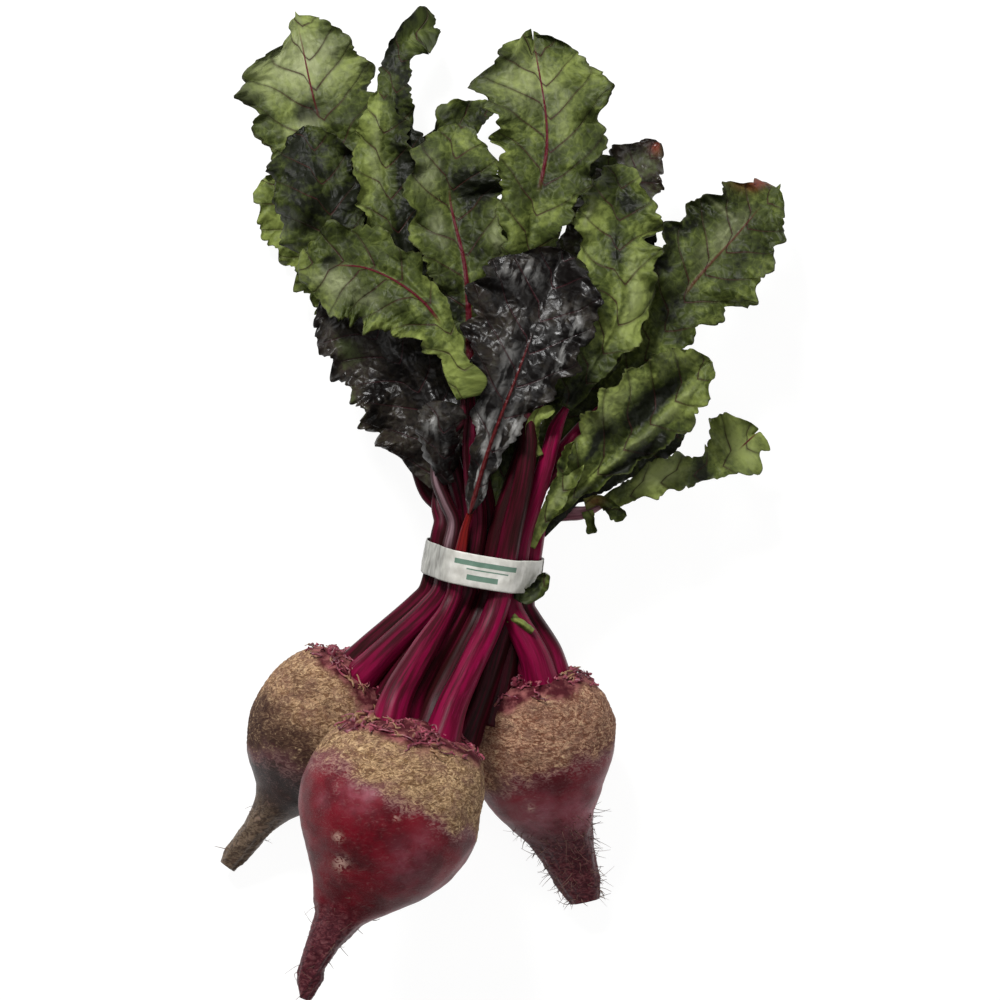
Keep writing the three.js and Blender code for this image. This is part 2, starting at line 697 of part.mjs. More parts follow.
function surfaceTriangles( grid ) {

	const triangles = [];
	for ( let i = 0; i < grid.length - 1; i ++ ) {

		for ( let j = 0; j < BLADE_COLUMNS.length - 1; j ++ ) {

			const a = [ i, j ];
			const b = [ i, j + 1 ];
			const c = [ i + 1, j + 1 ];
			const d = [ i + 1, j ];
			if ( j < ( BLADE_COLUMNS.length - 1 ) / 2 ) triangles.push( [ a, b, d ], [ b, c, d ] );
			else triangles.push( [ a, b, c ], [ a, c, d ] );

		}

	}

	return triangles;

}

// Lifts a blade off whatever is below it, and evens the lift out between its corners
const LAYING_ROUNDS = 4;
const PASSES_PER_ROUND = 40;
const SMALL_ENOUGH = 0.01;
const EVENING = 0.6;

function layBlade( grid ) {

	const triangles = surfaceTriangles( grid );
	const pass = () => {

		let worst = 0;
		for ( const triangle of triangles ) {

			const items = triangle.map( ( [ i, j ] ) => grid[ i ][ j ] );
			const [ a, b, c ] = items.map( ( item ) => item.top );
			let need = 0;
			let at = [ 0, 0, 0 ];
			cellsIn( a, b, c, ( column, row, weights ) => {

				const cell = cellIndex( column, row );
				if ( cell < 0 ) return;
				const under = items.reduce( ( sum, item, k ) => {

					return sum + weights[ k ] * ( item.top.z - item.thickness );

				}, 0 );
				const short = reached[ cell ] + LEAF_CLEARANCE - under;
				if ( short > need ) {

					need = short;
					at = weights;

				}

			} );
			if ( need <= 0 ) continue;
			worst = Math.max( worst, need );
			const share = at.reduce( ( sum, w ) => sum + w * w, 0 );
			items.forEach( ( item, k ) => {

				const step = need * Math.max( at[ k ], 0 ) / share;
				item.lift += step;
				item.top.z += step;

			} );

		}

		return worst;

	};

	for ( let round = 1; round <= LAYING_ROUNDS; round ++ ) {

		let passes = 0;
		while ( passes < PASSES_PER_ROUND && pass() > SMALL_ENOUGH ) passes ++;
		if ( round < LAYING_ROUNDS ) evenOut( grid );

	}

}

function evenOut( grid ) {

	const lifts = grid.map( ( row ) => row.map( ( item ) => item.lift ) );
	grid.forEach( ( row, i ) => row.forEach( ( item, j ) => {

		const near = [ [ i - 1, j ], [ i + 1, j ], [ i, j - 1 ], [ i, j + 1 ] ]
			.filter( ( [ a, b ] ) => lifts[ a ]?.[ b ] !== undefined )
			.map( ( [ a, b ] ) => lifts[ a ][ b ] );
		const mean = near.reduce( ( sum, value ) => sum + value, 0 ) / near.length;
		const change = ( mean - item.lift ) * EVENING;
		item.lift += change;
		item.top.z += change;

	} ) );

}

function bladeGeometry( grid ) {

	const columns = BLADE_COLUMNS.length;
	const count = grid.length * columns;
	const tops = grid.flat().map( ( item ) => item.top );
	const unders = grid.flat().map( ( { top, thickness } ) => {

		return new THREE.Vector3( top.x, top.y, top.z - thickness );

	} );
	const faces = [];
	for ( const triangle of surfaceTriangles( grid ) ) {

		const [ a, b, c ] = triangle.map( ( [ i, j ] ) => i * columns + j );
		faces.push( a, b, c );
		faces.push( count + a, count + c, count + b );

	}

	const rim = [];
	for ( let j = 0; j < columns - 1; j ++ ) rim.push( j );
	for ( let i = 0; i < grid.length - 1; i ++ ) rim.push( i * columns + columns - 1 );
	for ( let j = columns - 1; j > 0; j -- ) rim.push( ( grid.length - 1 ) * columns + j );
	for ( let i = grid.length - 1; i > 0; i -- ) rim.push( i * columns );
	rim.forEach( ( a, k ) => {

		const b = rim[ ( k + 1 ) % rim.length ];
		faces.push( a, count + a, count + b );
		faces.push( a, count + b, b );

	} );
	return solid( [ ...tops, ...unders ], faces );

}

function rememberLeaf( middles, grid ) {

	for ( const { middle } of middles ) {

		const radius = stalkRadius( middle.y );
		discCells( middle, radius, ( column, row, half ) => raise( reached, column, row, middle.z + half ) );

	}

	for ( const triangle of surfaceTriangles( grid ) ) {

		const [ a, b, c ] = triangle.map( ( [ i, j ] ) => grid[ i ][ j ].top );
		cellsIn( a, b, c, ( column, row, weights ) => {

			raise( reached, column, row, weights[ 0 ] * a.z + weights[ 1 ] * b.z + weights[ 2 ] * c.z );

		} );

	}

}

function finish( colour, roughness ) {

	return new THREE.MeshStandardMaterial( { color: colour, roughness, metalness: 0 } );

}

function addMesh( group, name, geometry, material ) {

	const mesh = new THREE.Mesh( geometry, material );
	mesh.name = name;
	group.add( mesh );

}

const bunch = new THREE.Group();
for ( const [ name, beet ] of Object.entries( BEETS ) ) {

	const root = cutLevel( beetGeometry( beet ) );
	addMesh( bunch, `beet_${ name }`, root, finish( ROOT_COLOUR, ROOT_ROUGHNESS ) );

}

addMesh( bunch, 'band', bandGeometry(), finish( BAND_COLOUR, BAND_ROUGHNESS ) );

for ( const leaf of LEAVES ) {

	const middles = stalkMiddles( leaf );
	layStalk( middles );
	const grid = bladeSurface( leaf, middles.at( - 1 ).lift );
	layBlade( grid );
	rememberLeaf( middles, grid );
	const leafColour = leaf.colour === 'purple' ? PURPLE_LEAF_COLOUR : GREEN_LEAF_COLOUR;
	addMesh( bunch, `${ leaf.name }_stalk`, stalkGeometry( middles ), finish( STALK_COLOUR, STALK_ROUGHNESS ) );
	addMesh( bunch, `${ leaf.name }_blade`, bladeGeometry( grid ), finish( leafColour, LEAF_ROUGHNESS ) );

}

// The origin goes to the bottom centre of the whole bunch
const box = new THREE.Box3().setFromObject( bunch );
bunch.position.set( - ( box.min.x + box.max.x ) / 2, - ( box.min.y + box.max.y ) / 2, - box.min.z );

export default bunch;
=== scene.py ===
import math
import random

import bpy
import numpy as np
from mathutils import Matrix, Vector, noise
from mathutils.kdtree import KDTree


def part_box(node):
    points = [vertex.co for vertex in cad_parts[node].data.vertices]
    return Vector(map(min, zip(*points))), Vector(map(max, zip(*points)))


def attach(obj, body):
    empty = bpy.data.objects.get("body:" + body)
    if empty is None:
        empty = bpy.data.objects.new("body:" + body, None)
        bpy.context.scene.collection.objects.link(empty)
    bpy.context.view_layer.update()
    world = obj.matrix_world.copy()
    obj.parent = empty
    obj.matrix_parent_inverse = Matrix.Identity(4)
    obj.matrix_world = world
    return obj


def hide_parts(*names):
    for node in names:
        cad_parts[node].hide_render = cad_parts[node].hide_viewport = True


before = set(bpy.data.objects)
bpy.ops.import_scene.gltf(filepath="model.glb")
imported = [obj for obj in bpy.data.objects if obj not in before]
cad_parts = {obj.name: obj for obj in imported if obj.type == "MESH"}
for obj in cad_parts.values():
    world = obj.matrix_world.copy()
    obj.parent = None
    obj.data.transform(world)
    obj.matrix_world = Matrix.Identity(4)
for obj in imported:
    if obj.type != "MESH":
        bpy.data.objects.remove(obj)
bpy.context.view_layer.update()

# A tied bunch of three beetroots, lying down, its leaves towards +Y. Sizes are in millimetres, x
# and y from the middle of the band and z from the surface, and become metres in the meshes.


# The three roots. Each is one swollen root: rough corky skin on the shoulder that stood out of
# the soil, thin taut crimson skin below, and a long tap root, all grown in one piece.
MM = 0.001
BAND_HEIGHT = 45
band_low, band_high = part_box("band")
origin = np.array((band_low + band_high) / 2) - (0, 0, BAND_HEIGHT * MM)

# path runs along the root's middle from the crown, and profile holds the radius at distances
# along it. outline moves the sides: at which y, and the left and the right one by how far. Cork
# ends cork_to from the crown, and cork_side sooner on the right. warmth and bright are the salmon
# tone and the clear crimson, and the last of the three values is painted shade, which darkens the
# bark further from the crown. Scars and waxy blooms with painted sheen are spots: where, how wide,
# and how strong. The blooms are lighter patches on the upper side, partly painted highlight.
ROOTS = {
    "front": dict(
        phase=0.4, seed=11, cork_to=24, cork_side=5.5, warmth=0.15, bright=1.0, dirt=-0.1, hairs=40,
        scars=[(-50.8, -106.9, 2.6, 1), (-51.5, -97.2, 1.6, 1), (-30.5, -90.0, 0.8, 1)],
        blooms=[(-43, -81, 7, 0.8), (-27, -107, 8, 0.6), (-57, -84, 3, 0.6), (-22, -100, 6, 0.5)],
        outline=[(-66, 0, 0), (-78, -1.8, -1), (-91, -1.8, -1.2), (-100, -2.9, 1.2), (-108, -3.7, 1.9),
                 (-117, -4.5, 1.2), (-122, -4.7, 0.6), (-127, -3, -2), (-131, -2.8, -5), (-139, -1.5, -4),
                 (-147, -1.4, -2.8), (-151, -0.3, 0.6), (-157, 4, 1)],
        path=[(-24, -59, 72.8), (-31.5, -85, 79.8), (-39.5, -108, 81), (-48.5, -126, 81),
              (-57, -140, 80), (-66, -157, 79)],
        profile=[(0, 17), (1.5, 21), (5, 25.5), (11, 29.8), (19, 32), (28, 32.5), (38, 31),
                 (47, 27.6), (55, 22.4), (63, 15.8), (70, 10.8), (78, 7.8), (92, 5.8), (107, 3.4)],
    ),
    "left": dict(
        phase=1.7, seed=23, cork_to=38, cork_side=-6, warmth=0.3, bright=0.0, dirt=1.0, hairs=6,
        scars=[], blooms=[(-62, -66, 8, 0.15)],
        outline=[(-46, 0, 0), (-62, 1.4, 0), (-74, 0.6, 0), (-82, 2, 0), (-98, 2.1, -0.7), (-108, 0, 0)],
        path=[(-42.5, -43, 32), (-59.5, -61, 26.6), (-77, -88, 19), (-96, -114, 6.5)],
        profile=[(0, 16.5), (1.5, 19), (5, 23), (11, 26), (19, 27.2), (27, 27.2), (36, 24.8),
                 (43, 20.4), (49, 14.8), (55, 9.8), (62, 7), (73, 5.4), (85, 3.2)],
    ),
    "right": dict(
        phase=2.9, seed=37, cork_to=31, cork_side=-2, warmth=0.75, bright=1.0, dirt=0.1, hairs=260,
        scars=[(18, -90, 1.3, 1)], blooms=[(22, -93, 8, 0.8), (36, -94, 9, 0.9), (46, -84, 6, 0.8)],
        outline=[(-38, 0, -2.9), (-48, 0, -0.8), (-57, 0, -0.5), (-70, 0, -3), (-82, 0, -5), (-92, -2.5, -5),
                 (-100, -5, -3), (-110, -5, -0.9), (-117, -4.2, 0.5), (-127, -1, 0)],
        path=[(17.5, -44, 33), (24, -69, 27.4), (32, -98, 19.5), (39, -127, 9)],
        profile=[(0, 18), (1.5, 21), (5, 23.8), (11, 26.8), (19, 28), (27, 28), (36, 26),
                 (45, 21.4), (53, 15.6), (61, 10.8), (70, 8), (85, 5.4)],
    ),
}
CROWN_DOME = [(-3.4, 0.6), (-3.1, 7), (-2.2, 12.5)]
# How far the cork takes to fade, where the tail begins, and how far apart the growth rings are
CORK_FADE = 9
TAIL_FROM = 0.6
GROWTH_RING = 3.6
ROOT_RINGS = 224
ROOT_SIDES = 150


def linear(colour):
    """An sRGB hex colour as linear red, green, blue and alpha"""
    parts = [int(colour[i:i + 2], 16) / 255 for i in (1, 3, 5)]
    return [p / 12.92 if p <= 0.04045 else ((p + 0.055) / 1.055) ** 2.4 for p in parts] + [1.0]


def add_node(tree, kind, out=None, **settings):
    """A shader node, by its first live output or the one named. A setting is a property of the
    node or one of its sockets: in_1 is a socket by number, and From_Min is one by name. A socket
    takes a number, a hex colour or the output that is linked to it."""
    made = tree.nodes.new("ShaderNode" + kind)
    for name, value in settings.items():
        if hasattr(made, name):
            setattr(made, name, value)
            continue
        if name.startswith("in_"):
            socket = made.inputs[int(name[3:])]
        else:
            socket = next(s for s in made.inputs if s.enabled and s.name.replace(" ", "_") == name)
        if isinstance(value, bpy.types.NodeSocket):
            tree.links.new(value, socket)
        else:
            socket.default_value = linear(value) if isinstance(value, str) else value
    if out:
        return made.outputs[out]
    return next((s for s in made.outputs if s.enabled), made)


def new_material(name):
    """An empty node material, and its tree"""
    material = bpy.data.materials.new(name)
    material.use_nodes = True
    material.node_tree.nodes.clear()
    return material, material.node_tree


def smooth_line(points):
    """A smooth line through the points: dense places on it and the distance to each"""
    p = np.array(points, float)
    p = np.vstack([2 * p[0] - p[1], p, 2 * p[-1] - p[-2]])
    t = np.linspace(0, 1, 60, endpoint=False)[:, None]
    pieces = []
    for a, b, c, d in zip(p, p[1:], p[2:], p[3:]):
        before, here, after = [np.linalg.norm(v) ** 0.5 for v in (b - a, c - b, d - c)]
        start = ((b - a) / before - (c - a) / (before + here) + (c - b) / here) * here
        end = ((c - b) / here - (d - b) / (here + after) + (d - c) / after) * here
        square = -3 * b + 3 * c - 2 * start - end
        pieces.append(b + start * t + square * t ** 2 + (2 * b - 2 * c + start + end) * t ** 3)
    places = np.vstack(pieces + [p[-2:-1]])
    steps = np.linalg.norm(np.diff(places, axis=0), axis=1)
    return places, np.concatenate([[0], np.cumsum(steps)])


def read_line(line, distances):
    """Places and directions at distances along a smooth line, straight on past its ends"""
    places, lengths = line
    inside = np.clip(distances, 0, lengths[-1])
    at = np.stack([np.interp(inside, lengths, column) for column in places.T], 1)
    ahead = np.clip(inside + 0.4, 0, lengths[-1])
    behind = np.clip(inside - 0.4, 0, lengths[-1])
    way = np.stack([np.interp(ahead, lengths, c) - np.interp(behind, lengths, c) for c in places.T], 1)
    way /= np.linalg.norm(way, axis=1, keepdims=True)
    return at + way * (distances - inside)[:, None], way


def level_right(way):
    """For directions of travel: the level directions to their right"""
    heading = way * (1, 1, 0)
    heading /= np.linalg.norm(heading, axis=-1, keepdims=True)
    return np.stack([heading[..., 1], -heading[..., 0], 0 * heading[..., 0]], -1)


def noise_field(places, size, seed):
    """Smooth noise from about -1 to 1 at each place, with lumps about size across"""
    moved = np.asarray(places).reshape(-1, 3) / size + seed * 3.7
    return np.array([noise.noise(Vector(p)) for p in moved]).reshape(np.shape(places)[:-1])


def smoothstep(low, high, x):
    """From 0 at low to 1 at high, with soft ends"""
    t = np.clip((x - low) / (high - low), 0, 1)
    return t * t * (3 - 2 * t)


def grid_faces(rows, columns, closed=False, flip=False):
    """Four-sided faces between the points of a grid, counted row by row"""
    i, j = np.meshgrid(np.arange(rows - 1), np.arange(columns if closed else columns - 1), indexing="ij")
    a = i * columns + j
    b = i * columns + (j + 1) % columns
    corners = [a, a + columns, b + columns, b] if flip else [a, b, b + columns, a + columns]
    return np.stack(corners, -1).reshape(-1, 4)


def closed_tube(rings):
    """Vertices and faces of a closed body through rings of points, with a fan over each end"""
    rows, sides = rings.shape[:2]
    vertices = np.vstack([rings.reshape(-1, 3), rings[0].mean(0), rings[-1].mean(0)])
    k = np.arange(sides)
    first = rows * sides + 0 * k
    last = (rows - 1) * sides
    start = np.stack([first, k, (k + 1) % sides], -1)
    end = np.stack([first + 1, last + (k + 1) % sides, last + k], -1)
    return vertices, [grid_faces(rows, sides, closed=True, flip=True), start, end]


def tube_fields(**fields):
    """Fields of a tube's ring points, each with a value added for the middle of each end"""
    return {key: np.concatenate([field.ravel(), field[[0, -1], 0]]) for key, field in fields.items()}


def build_piece(name, vertices, faces, material, replaced=(), attributes=None):
    """A mesh piece in the frame, with its point attributes, that goes with the whole bunch"""
    mesh = bpy.data.meshes.new(name)
    counts = np.concatenate([np.full(len(f), f.shape[1]) for f in faces])
    corners = np.concatenate([f.ravel() for f in faces])
    mesh.vertices.add(len(vertices))
    mesh.vertices.foreach_set("co", (np.asarray(vertices) * MM + origin).ravel())
    mesh.loops.add(len(corners))
    mesh.loops.foreach_set("vertex_index", corners)
    mesh.polygons.add(len(counts))
    mesh.polygons.foreach_set("loop_start", np.concatenate([[0], np.cumsum(counts)[:-1]]))
    for key, values in (attributes or {}).items():
        values = np.asarray(values, float)
        kind = "FLOAT_VECTOR" if values.ndim == 2 else "FLOAT"
        layer = mesh.attributes.new(key, kind, "POINT")
        layer.data.foreach_set("vector" if values.ndim == 2 else "value", values.ravel())
    mesh.update(calc_edges=True)
    mesh.validate()
    mesh.materials.append(material)
    piece = bpy.data.objects.new(name, mesh)
    bpy.context.scene.collection.objects.link(piece)
    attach(piece, "root")
    if replaced:
        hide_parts(*replaced)


def per_mm(size):
    """A texture's scale, in object space, for a pattern that repeats about every size mm"""
    return 1 / (size * MM)


# Beetroot skin: dull crazed cork, dry and light-scattering, over smooth dark crimson skin with
# the soft wax gloss of a fresh vegetable. The cork breaks up in flakes and scribbled cracks.
def beetroot_skin():
    material, tree = new_material("beetroot_skin_cork_over_crimson")
    place = add_node(tree, "TexCoord", out="Object")
    ringed = add_node(tree, "Mapping", Vector=place, Scale=(1, 1.7, 1))
    cork, tail, crown, scar, bloom, warmth, bright, dirt = (
        add_node(tree, "Attribute", out="Fac", attribute_name=key)
        for key in ("cork", "tail", "crown", "scar", "bloom", "warmth", "bright", "dirt"))

    flakes = add_node(tree, "TexNoise", Vector=ringed, Scale=per_mm(2.8), Detail=5.0, Roughness=0.62,
                      Distortion=1.6)
    patches = add_node(tree, "TexNoise", Vector=place, Scale=per_mm(12), Detail=5.0, Roughness=0.6)
    spots = add_node(tree, "TexNoise", Vector=place, Scale=per_mm(5), Detail=4.0, Roughness=0.6)
    scribbles = add_node(tree, "TexNoise", Vector=ringed, Scale=per_mm(3.2), Detail=3.0, Distortion=3.0)
    off_line = add_node(tree, "Math", operation="SUBTRACT", in_0=scribbles, in_1=0.5)
    off_line = add_node(tree, "Math", operation="ABSOLUTE", in_0=off_line)
    crack = add_node(tree, "MapRange", Value=off_line, From_Min=0.01, From_Max=0.05, To_Min=1.0, To_Max=0.0)
    flaky = add_node(tree, "MapRange", interpolation_type="SMOOTHSTEP", Value=flakes,
                     From_Min=0.4, From_Max=0.6)
    patchy = add_node(tree, "MapRange", interpolation_type="SMOOTHSTEP", Value=patches,
                      From_Min=0.36, From_Max=0.64)
    spotted = add_node(tree, "MapRange", interpolation_type="SMOOTHSTEP", Value=spots,
                       From_Min=0.42, From_Max=0.68)
    dotted = add_node(tree, "MapRange", interpolation_type="SMOOTHSTEP", Value=flakes,
                      From_Min=0.56, From_Max=0.72)

    brown = add_node(tree, "Mix", data_type="RGBA", Factor=flaky, A="#6e5438", B="#b79a72")
    salmon = add_node(tree, "Mix", data_type="RGBA", Factor=flaky, A="#774638", B="#bf927a")
    bark = add_node(tree, "Mix", data_type="RGBA", Factor=warmth, A=brown, B=salmon)
    mauve = add_node(tree, "Math", operation="MULTIPLY", in_0=spotted, in_1=0.6)
    bark = add_node(tree, "Mix", data_type="RGBA", Factor=mauve, A=bark, B="#7b5a4e")
    # Painted shade: the bark turns a dark brown in patches further from the crown, by the root's shade value.
    shaded_bark = add_node(tree, "Mix", data_type="RGBA", Factor=flaky, A="#38241f", B="#614839")
    dirty = add_node(tree, "Math", operation="MULTIPLY_ADD", in_0=patchy, in_1=0.4, in_2=dirt)
    dirty = add_node(tree, "MapRange", interpolation_type="SMOOTHSTEP", Value=dirty,
                     From_Min=0.2, From_Max=0.95)
    bark = add_node(tree, "Mix", data_type="RGBA", Factor=dirty, A=bark, B=shaded_bark)
    pale_flake = add_node(tree, "Math", operation="MULTIPLY", in_0=dotted, in_1=0.75)
    bark = add_node(tree, "Mix", data_type="RGBA", Factor=pale_flake, A=bark, B="#d0b48c")
    dark_crack = add_node(tree, "Math", operation="MULTIPLY", in_0=crack, in_1=0.7)
    bark = add_node(tree, "Mix", data_type="RGBA", Factor=dark_crack, A=bark, B="#402c22")

    dull_skin = add_node(tree, "Mix", data_type="RGBA", Factor=patchy, A="#24120f", B="#3d2822")
    red_skin = add_node(tree, "Mix", data_type="RGBA", Factor=patchy, A="#4c0510", B="#6e081a")
    skin = add_node(tree, "Mix", data_type="RGBA", Factor=bright, A=dull_skin, B=red_skin)
    # Waxy bloom and painted sheen: pale pinkish spots on the skin's upper side, partly painted highlight.
    bloom_and_sheen_spots = add_node(tree, "MapRange", Value=spots, From_Min=0.35, From_Max=0.6, To_Min=0.3, To_Max=1.0)
    bloom_and_sheen_spots = add_node(tree, "Math", operation="MULTIPLY", in_0=bloom_and_sheen_spots, in_1=bloom)
    skin = add_node(tree, "Mix", data_type="RGBA", Factor=bloom_and_sheen_spots, A=skin, B="#94525e")
    red_tail = add_node(tree, "Mix", data_type="RGBA", Factor=flaky, A="#3c141c", B="#5e2c32")
    dull_tail = add_node(tree, "Mix", data_type="RGBA", Factor=flaky, A="#4a3a30", B="#70604e")
    tail_skin = add_node(tree, "Mix", data_type="RGBA", Factor=bright, A=dull_tail, B=red_tail)
    skin = add_node(tree, "Mix", data_type="RGBA", Factor=tail, A=skin, B=tail_skin)

    ragged = add_node(tree, "Math", operation="MULTIPLY_ADD", in_0=flakes, in_1=0.9, in_2=-0.45)
    ragged = add_node(tree, "Math", operation="ADD", in_0=ragged, in_1=cork)
    corky = add_node(tree, "MapRange", interpolation_type="SMOOTHSTEP", Value=ragged,
                     From_Min=0.2, From_Max=0.8)
    fringe = add_node(tree, "MapRange", interpolation_type="SMOOTHSTEP", Value=ragged,
                      From_Min=0.0, From_Max=0.4, To_Max=0.75)
    scuffed = add_node(tree, "Mix", data_type="RGBA", Factor=flaky, A="#5a2e34", B="#8d6664")
    colour = add_node(tree, "Mix", data_type="RGBA", Factor=fringe, A=skin, B=scuffed)
    colour = add_node(tree, "Mix", data_type="RGBA", Factor=corky, A=colour, B=bark)
    flesh = add_node(tree, "Mix", data_type="RGBA", Factor=spotted, A="#47161e", B="#8f5654")
    colour = add_node(tree, "Mix", data_type="RGBA", Factor=crown, A=colour, B=flesh)
    starry = add_node(tree, "MapRange", Value=flakes, From_Min=0.44, From_Max=0.52)
    starry = add_node(tree, "Math", operation="MULTIPLY", in_0=starry, in_1=scar)
    colour = add_node(tree, "Mix", data_type="RGBA", Factor=starry, A=colour, B="#c09a8c")

    height = add_node(tree, "Mix", data_type="FLOAT", Factor=corky, A=patches, B=flakes)
    height = add_node(tree, "Math", operation="MULTIPLY_ADD", in_0=crack, in_1=-0.25, in_2=height)
    relief = add_node(tree, "Bump", Strength=0.5, Distance=0.5 * MM, Height=height)
    roughness = add_node(tree, "MapRange", Value=corky, To_Min=0.4, To_Max=0.9)
    shader = add_node(tree, "BsdfPrincipled", IOR=1.42, Specular_IOR_Level=0.2,
                      Base_Color=colour, Roughness=roughness, Normal=relief)
    add_node(tree, "OutputMaterial", Surface=shader)
    return material


root_skin = beetroot_skin()


def root_piece(name, root):
    """One root: dense upright rings on its curved middle, roughened where cork covers it"""
    def spots(places):
        """Soft spots on the root's upper side, where a scar or a waxy bloom with painted sheen is"""
        found = 0 * d
        for x, y, size, amount in places:
            away = np.hypot(smooth[..., 0] - x, smooth[..., 1] - y) / size
            found = np.maximum(found, amount * np.exp(-away ** 2) * (smooth[..., 2] > middles[:, None, 2]))
        return found

    seed = root["seed"]
    line = smooth_line(root["path"])
    reach = root["profile"][-1][0]
    section = smooth_line([(d, r, 0) for d, r in CROWN_DOME + root["profile"]])
    at = np.linspace(0, 1, ROOT_RINGS) ** 1.05 * section[1][-1]
    distance, radius = read_line(section, at)[0][:, :2].T
    middles, way = read_line(line, np.where(distance > 0, distance * line[1][-1] / reach, distance))
    right = level_right(way)
    angle = np.arange(ROOT_SIDES) / ROOT_SIDES * 2 * math.pi
    d, a = np.meshgrid(distance, angle, indexing="ij")
    r = np.repeat(radius[:, None], ROOT_SIDES, 1)
    oval = 0.012 * np.sin(2 * a + root["phase"])
    lumps = 0.008 * np.sin(5 * a + 2 * root["phase"] + 3 * d / line[1][-1])
    outward = right[:, None, :] * np.cos(a)[..., None] + np.array((0, 0, 1)) * np.sin(a)[..., None]
    smooth = middles[:, None, :] + outward * (r * (1 + oval + lumps))[..., None]
    levels, left_shift, right_shift = np.array(root["outline"][::-1]).T
    share = (smooth[..., 0] - middles[:, None, 0]) / r
    moved = np.where(share < 0, np.interp(smooth[..., 1], levels, left_shift),
                     np.interp(smooth[..., 1], levels, right_shift))
    smooth[..., 0] += moved * np.abs(share) ** 1.5

    wander = noise_field(smooth, 13, seed)
    cork_end = root["cork_to"] - root["cork_side"] * np.cos(a)
    cork_end = cork_end + 5 * wander + 3 * noise_field(smooth, 5, seed + 8)
    cork = smoothstep(CORK_FADE, -CORK_FADE, d - cork_end)
    tail = smoothstep(TAIL_FROM * reach, 0.74 * reach, d)
    crown = smoothstep(9, 5, d + 5 * wander)
    # Painted shade: darker further from the crown, with random change.
    dirt = root["dirt"] * smoothstep(19, 38, d) + 0.28 * wander
    growth = 0.8 * noise_field(smooth, 21, seed + 1) + 0.5 * noise_field(smooth, 7.5, seed + 2)
    flakes = np.abs(noise_field(smooth * (1, 1.9, 1), 3.1, seed + 3)) - 0.2
    grain = noise_field(smooth * (1, 1.6, 1), 1.6, seed + 4)
    twist = 7 * a + 0.06 * d + 2.2 * wander
    furrows = np.sin(twist) * noise_field(smooth, 9, seed + 5) - 0.3
    rings = np.sin(d * 2 * math.pi / GROWTH_RING + 2.5 * wander)
    knobs = noise_field(smooth, 4.2, seed + 6)
    bare = (1 - tail) * (1 - cork)
    out = growth + cork * (0.4 * flakes + 0.2 * grain) + tail * (0.75 * furrows + 0.25 * grain)
    out += bare * 0.03 * rings * smoothstep(0.2 * reach, 0.5 * reach, d) + crown * 1.1 * knobs
    out *= np.minimum(r / 4, 1)
    rough = smooth + outward * out[..., None]
    rough[..., 2] = np.maximum(rough[..., 2], 0)

    vertices, faces = closed_tube(rough)
    layers = tube_fields(cork=cork, tail=tail, crown=crown, dirt=dirt,
                         scar=spots(root["scars"]), bloom=spots(root["blooms"]))
    layers["warmth"] = np.full(len(vertices), root["warmth"])
    layers["bright"] = np.full(len(vertices), root["bright"])
    build_piece(f"root_{name}", vertices, faces, root_skin, [f"beet_{name}"], layers)
    return rough, outward, distance, way


# Fine side roots on the tap roots: hair-thin, dry and brown, grown out of the tail's furrows.
# Each is a bent strand with its foot under the skin.
HAIR_POINTS = 6
HAIR_FOOT = 0.16
HAIR_TIP = 0.05


def strand(points, radii, sides, flat=1.0):
    """Vertices and faces of a thin closed strand through a few points"""
    points = np.asarray(points, float)
    way = np.gradient(points, axis=0)
    way /= np.linalg.norm(way, axis=1, keepdims=True)
    side = np.cross(way, (0.31, 0.17, 0.94))
    side /= np.linalg.norm(side, axis=1, keepdims=True)
    top = np.cross(side, way)
    angle = np.arange(sides) / sides * 2 * math.pi
    spread = side[:, None] * np.cos(angle)[:, None] + top[:, None] * np.sin(angle)[:, None] * flat
    return closed_tube(points[:, None] + spread * np.asarray(radii)[:, None, None])


def joined(parts):
    """One set of vertices and faces from many"""
    vertices = []
    faces = []
    count = 0
    for part_vertices, part_faces in parts:
        vertices.append(part_vertices)
        faces += [f + count for f in part_faces]
        count += len(part_vertices)
    quads = [f for f in faces if f.shape[1] == 4]
    fans = [f for f in faces if f.shape[1] == 3]
    return np.vstack(vertices), [np.vstack(quads), np.vstack(fans)]


def dry_root_hair():
    """Dry side roots: dull brown fibre, darker than the cork"""
    material, tree = new_material("dry_root_hair")
    place = add_node(tree, "TexCoord", out="Object")
    patches = add_node(tree, "TexNoise", Vector=place, Scale=per_mm(4))
    colour = add_node(tree, "Mix", data_type="RGBA", Factor=patches, A="#2f1216", B="#7c5a4a")
    shader = add_node(tree, "BsdfPrincipled", Roughness=0.8, Base_Color=colour)
    add_node(tree, "OutputMaterial", Surface=shader)
    return material


root_hair = dry_root_hair()


def side_roots(name, root, skin):
    """Hairs on the lower half of one tap root, bent down it as they dried"""
    rough, outward, distance, way = skin
    draw = random.Random(root["seed"])
    reach = root["profile"][-1][0]
    tail_rings = np.flatnonzero(distance > TAIL_FROM * reach)
    hairs = []
    while len(hairs) < root["hairs"]:
        i = draw.choice(tail_rings)
        k = draw.randrange(ROOT_SIDES)
        start = rough[i, k]
        length = draw.uniform(0.8, 2.2) * draw.uniform(1, 2.2)
        lean = draw.uniform(-0.3, 1.3)
        curl = np.array([draw.uniform(-1.2, 1.2) for _ in range(3)])
        course = outward[i, k] + way[i] * lean
        course /= np.linalg.norm(course)
        steps = np.linspace(-0.08, 1, HAIR_POINTS)[:, None]
        points = start + course * length * steps + curl * length * steps ** 2
        if points[:, 2].min() < 0.3:
            continue
        radii = np.linspace(HAIR_FOOT, HAIR_TIP, HAIR_POINTS) * draw.uniform(0.6, 1.4)
        hairs.append(strand(points, radii, 4))
    vertices, faces = joined(hairs)
    build_piece(f"side_roots_{name}", vertices, faces, root_hair)


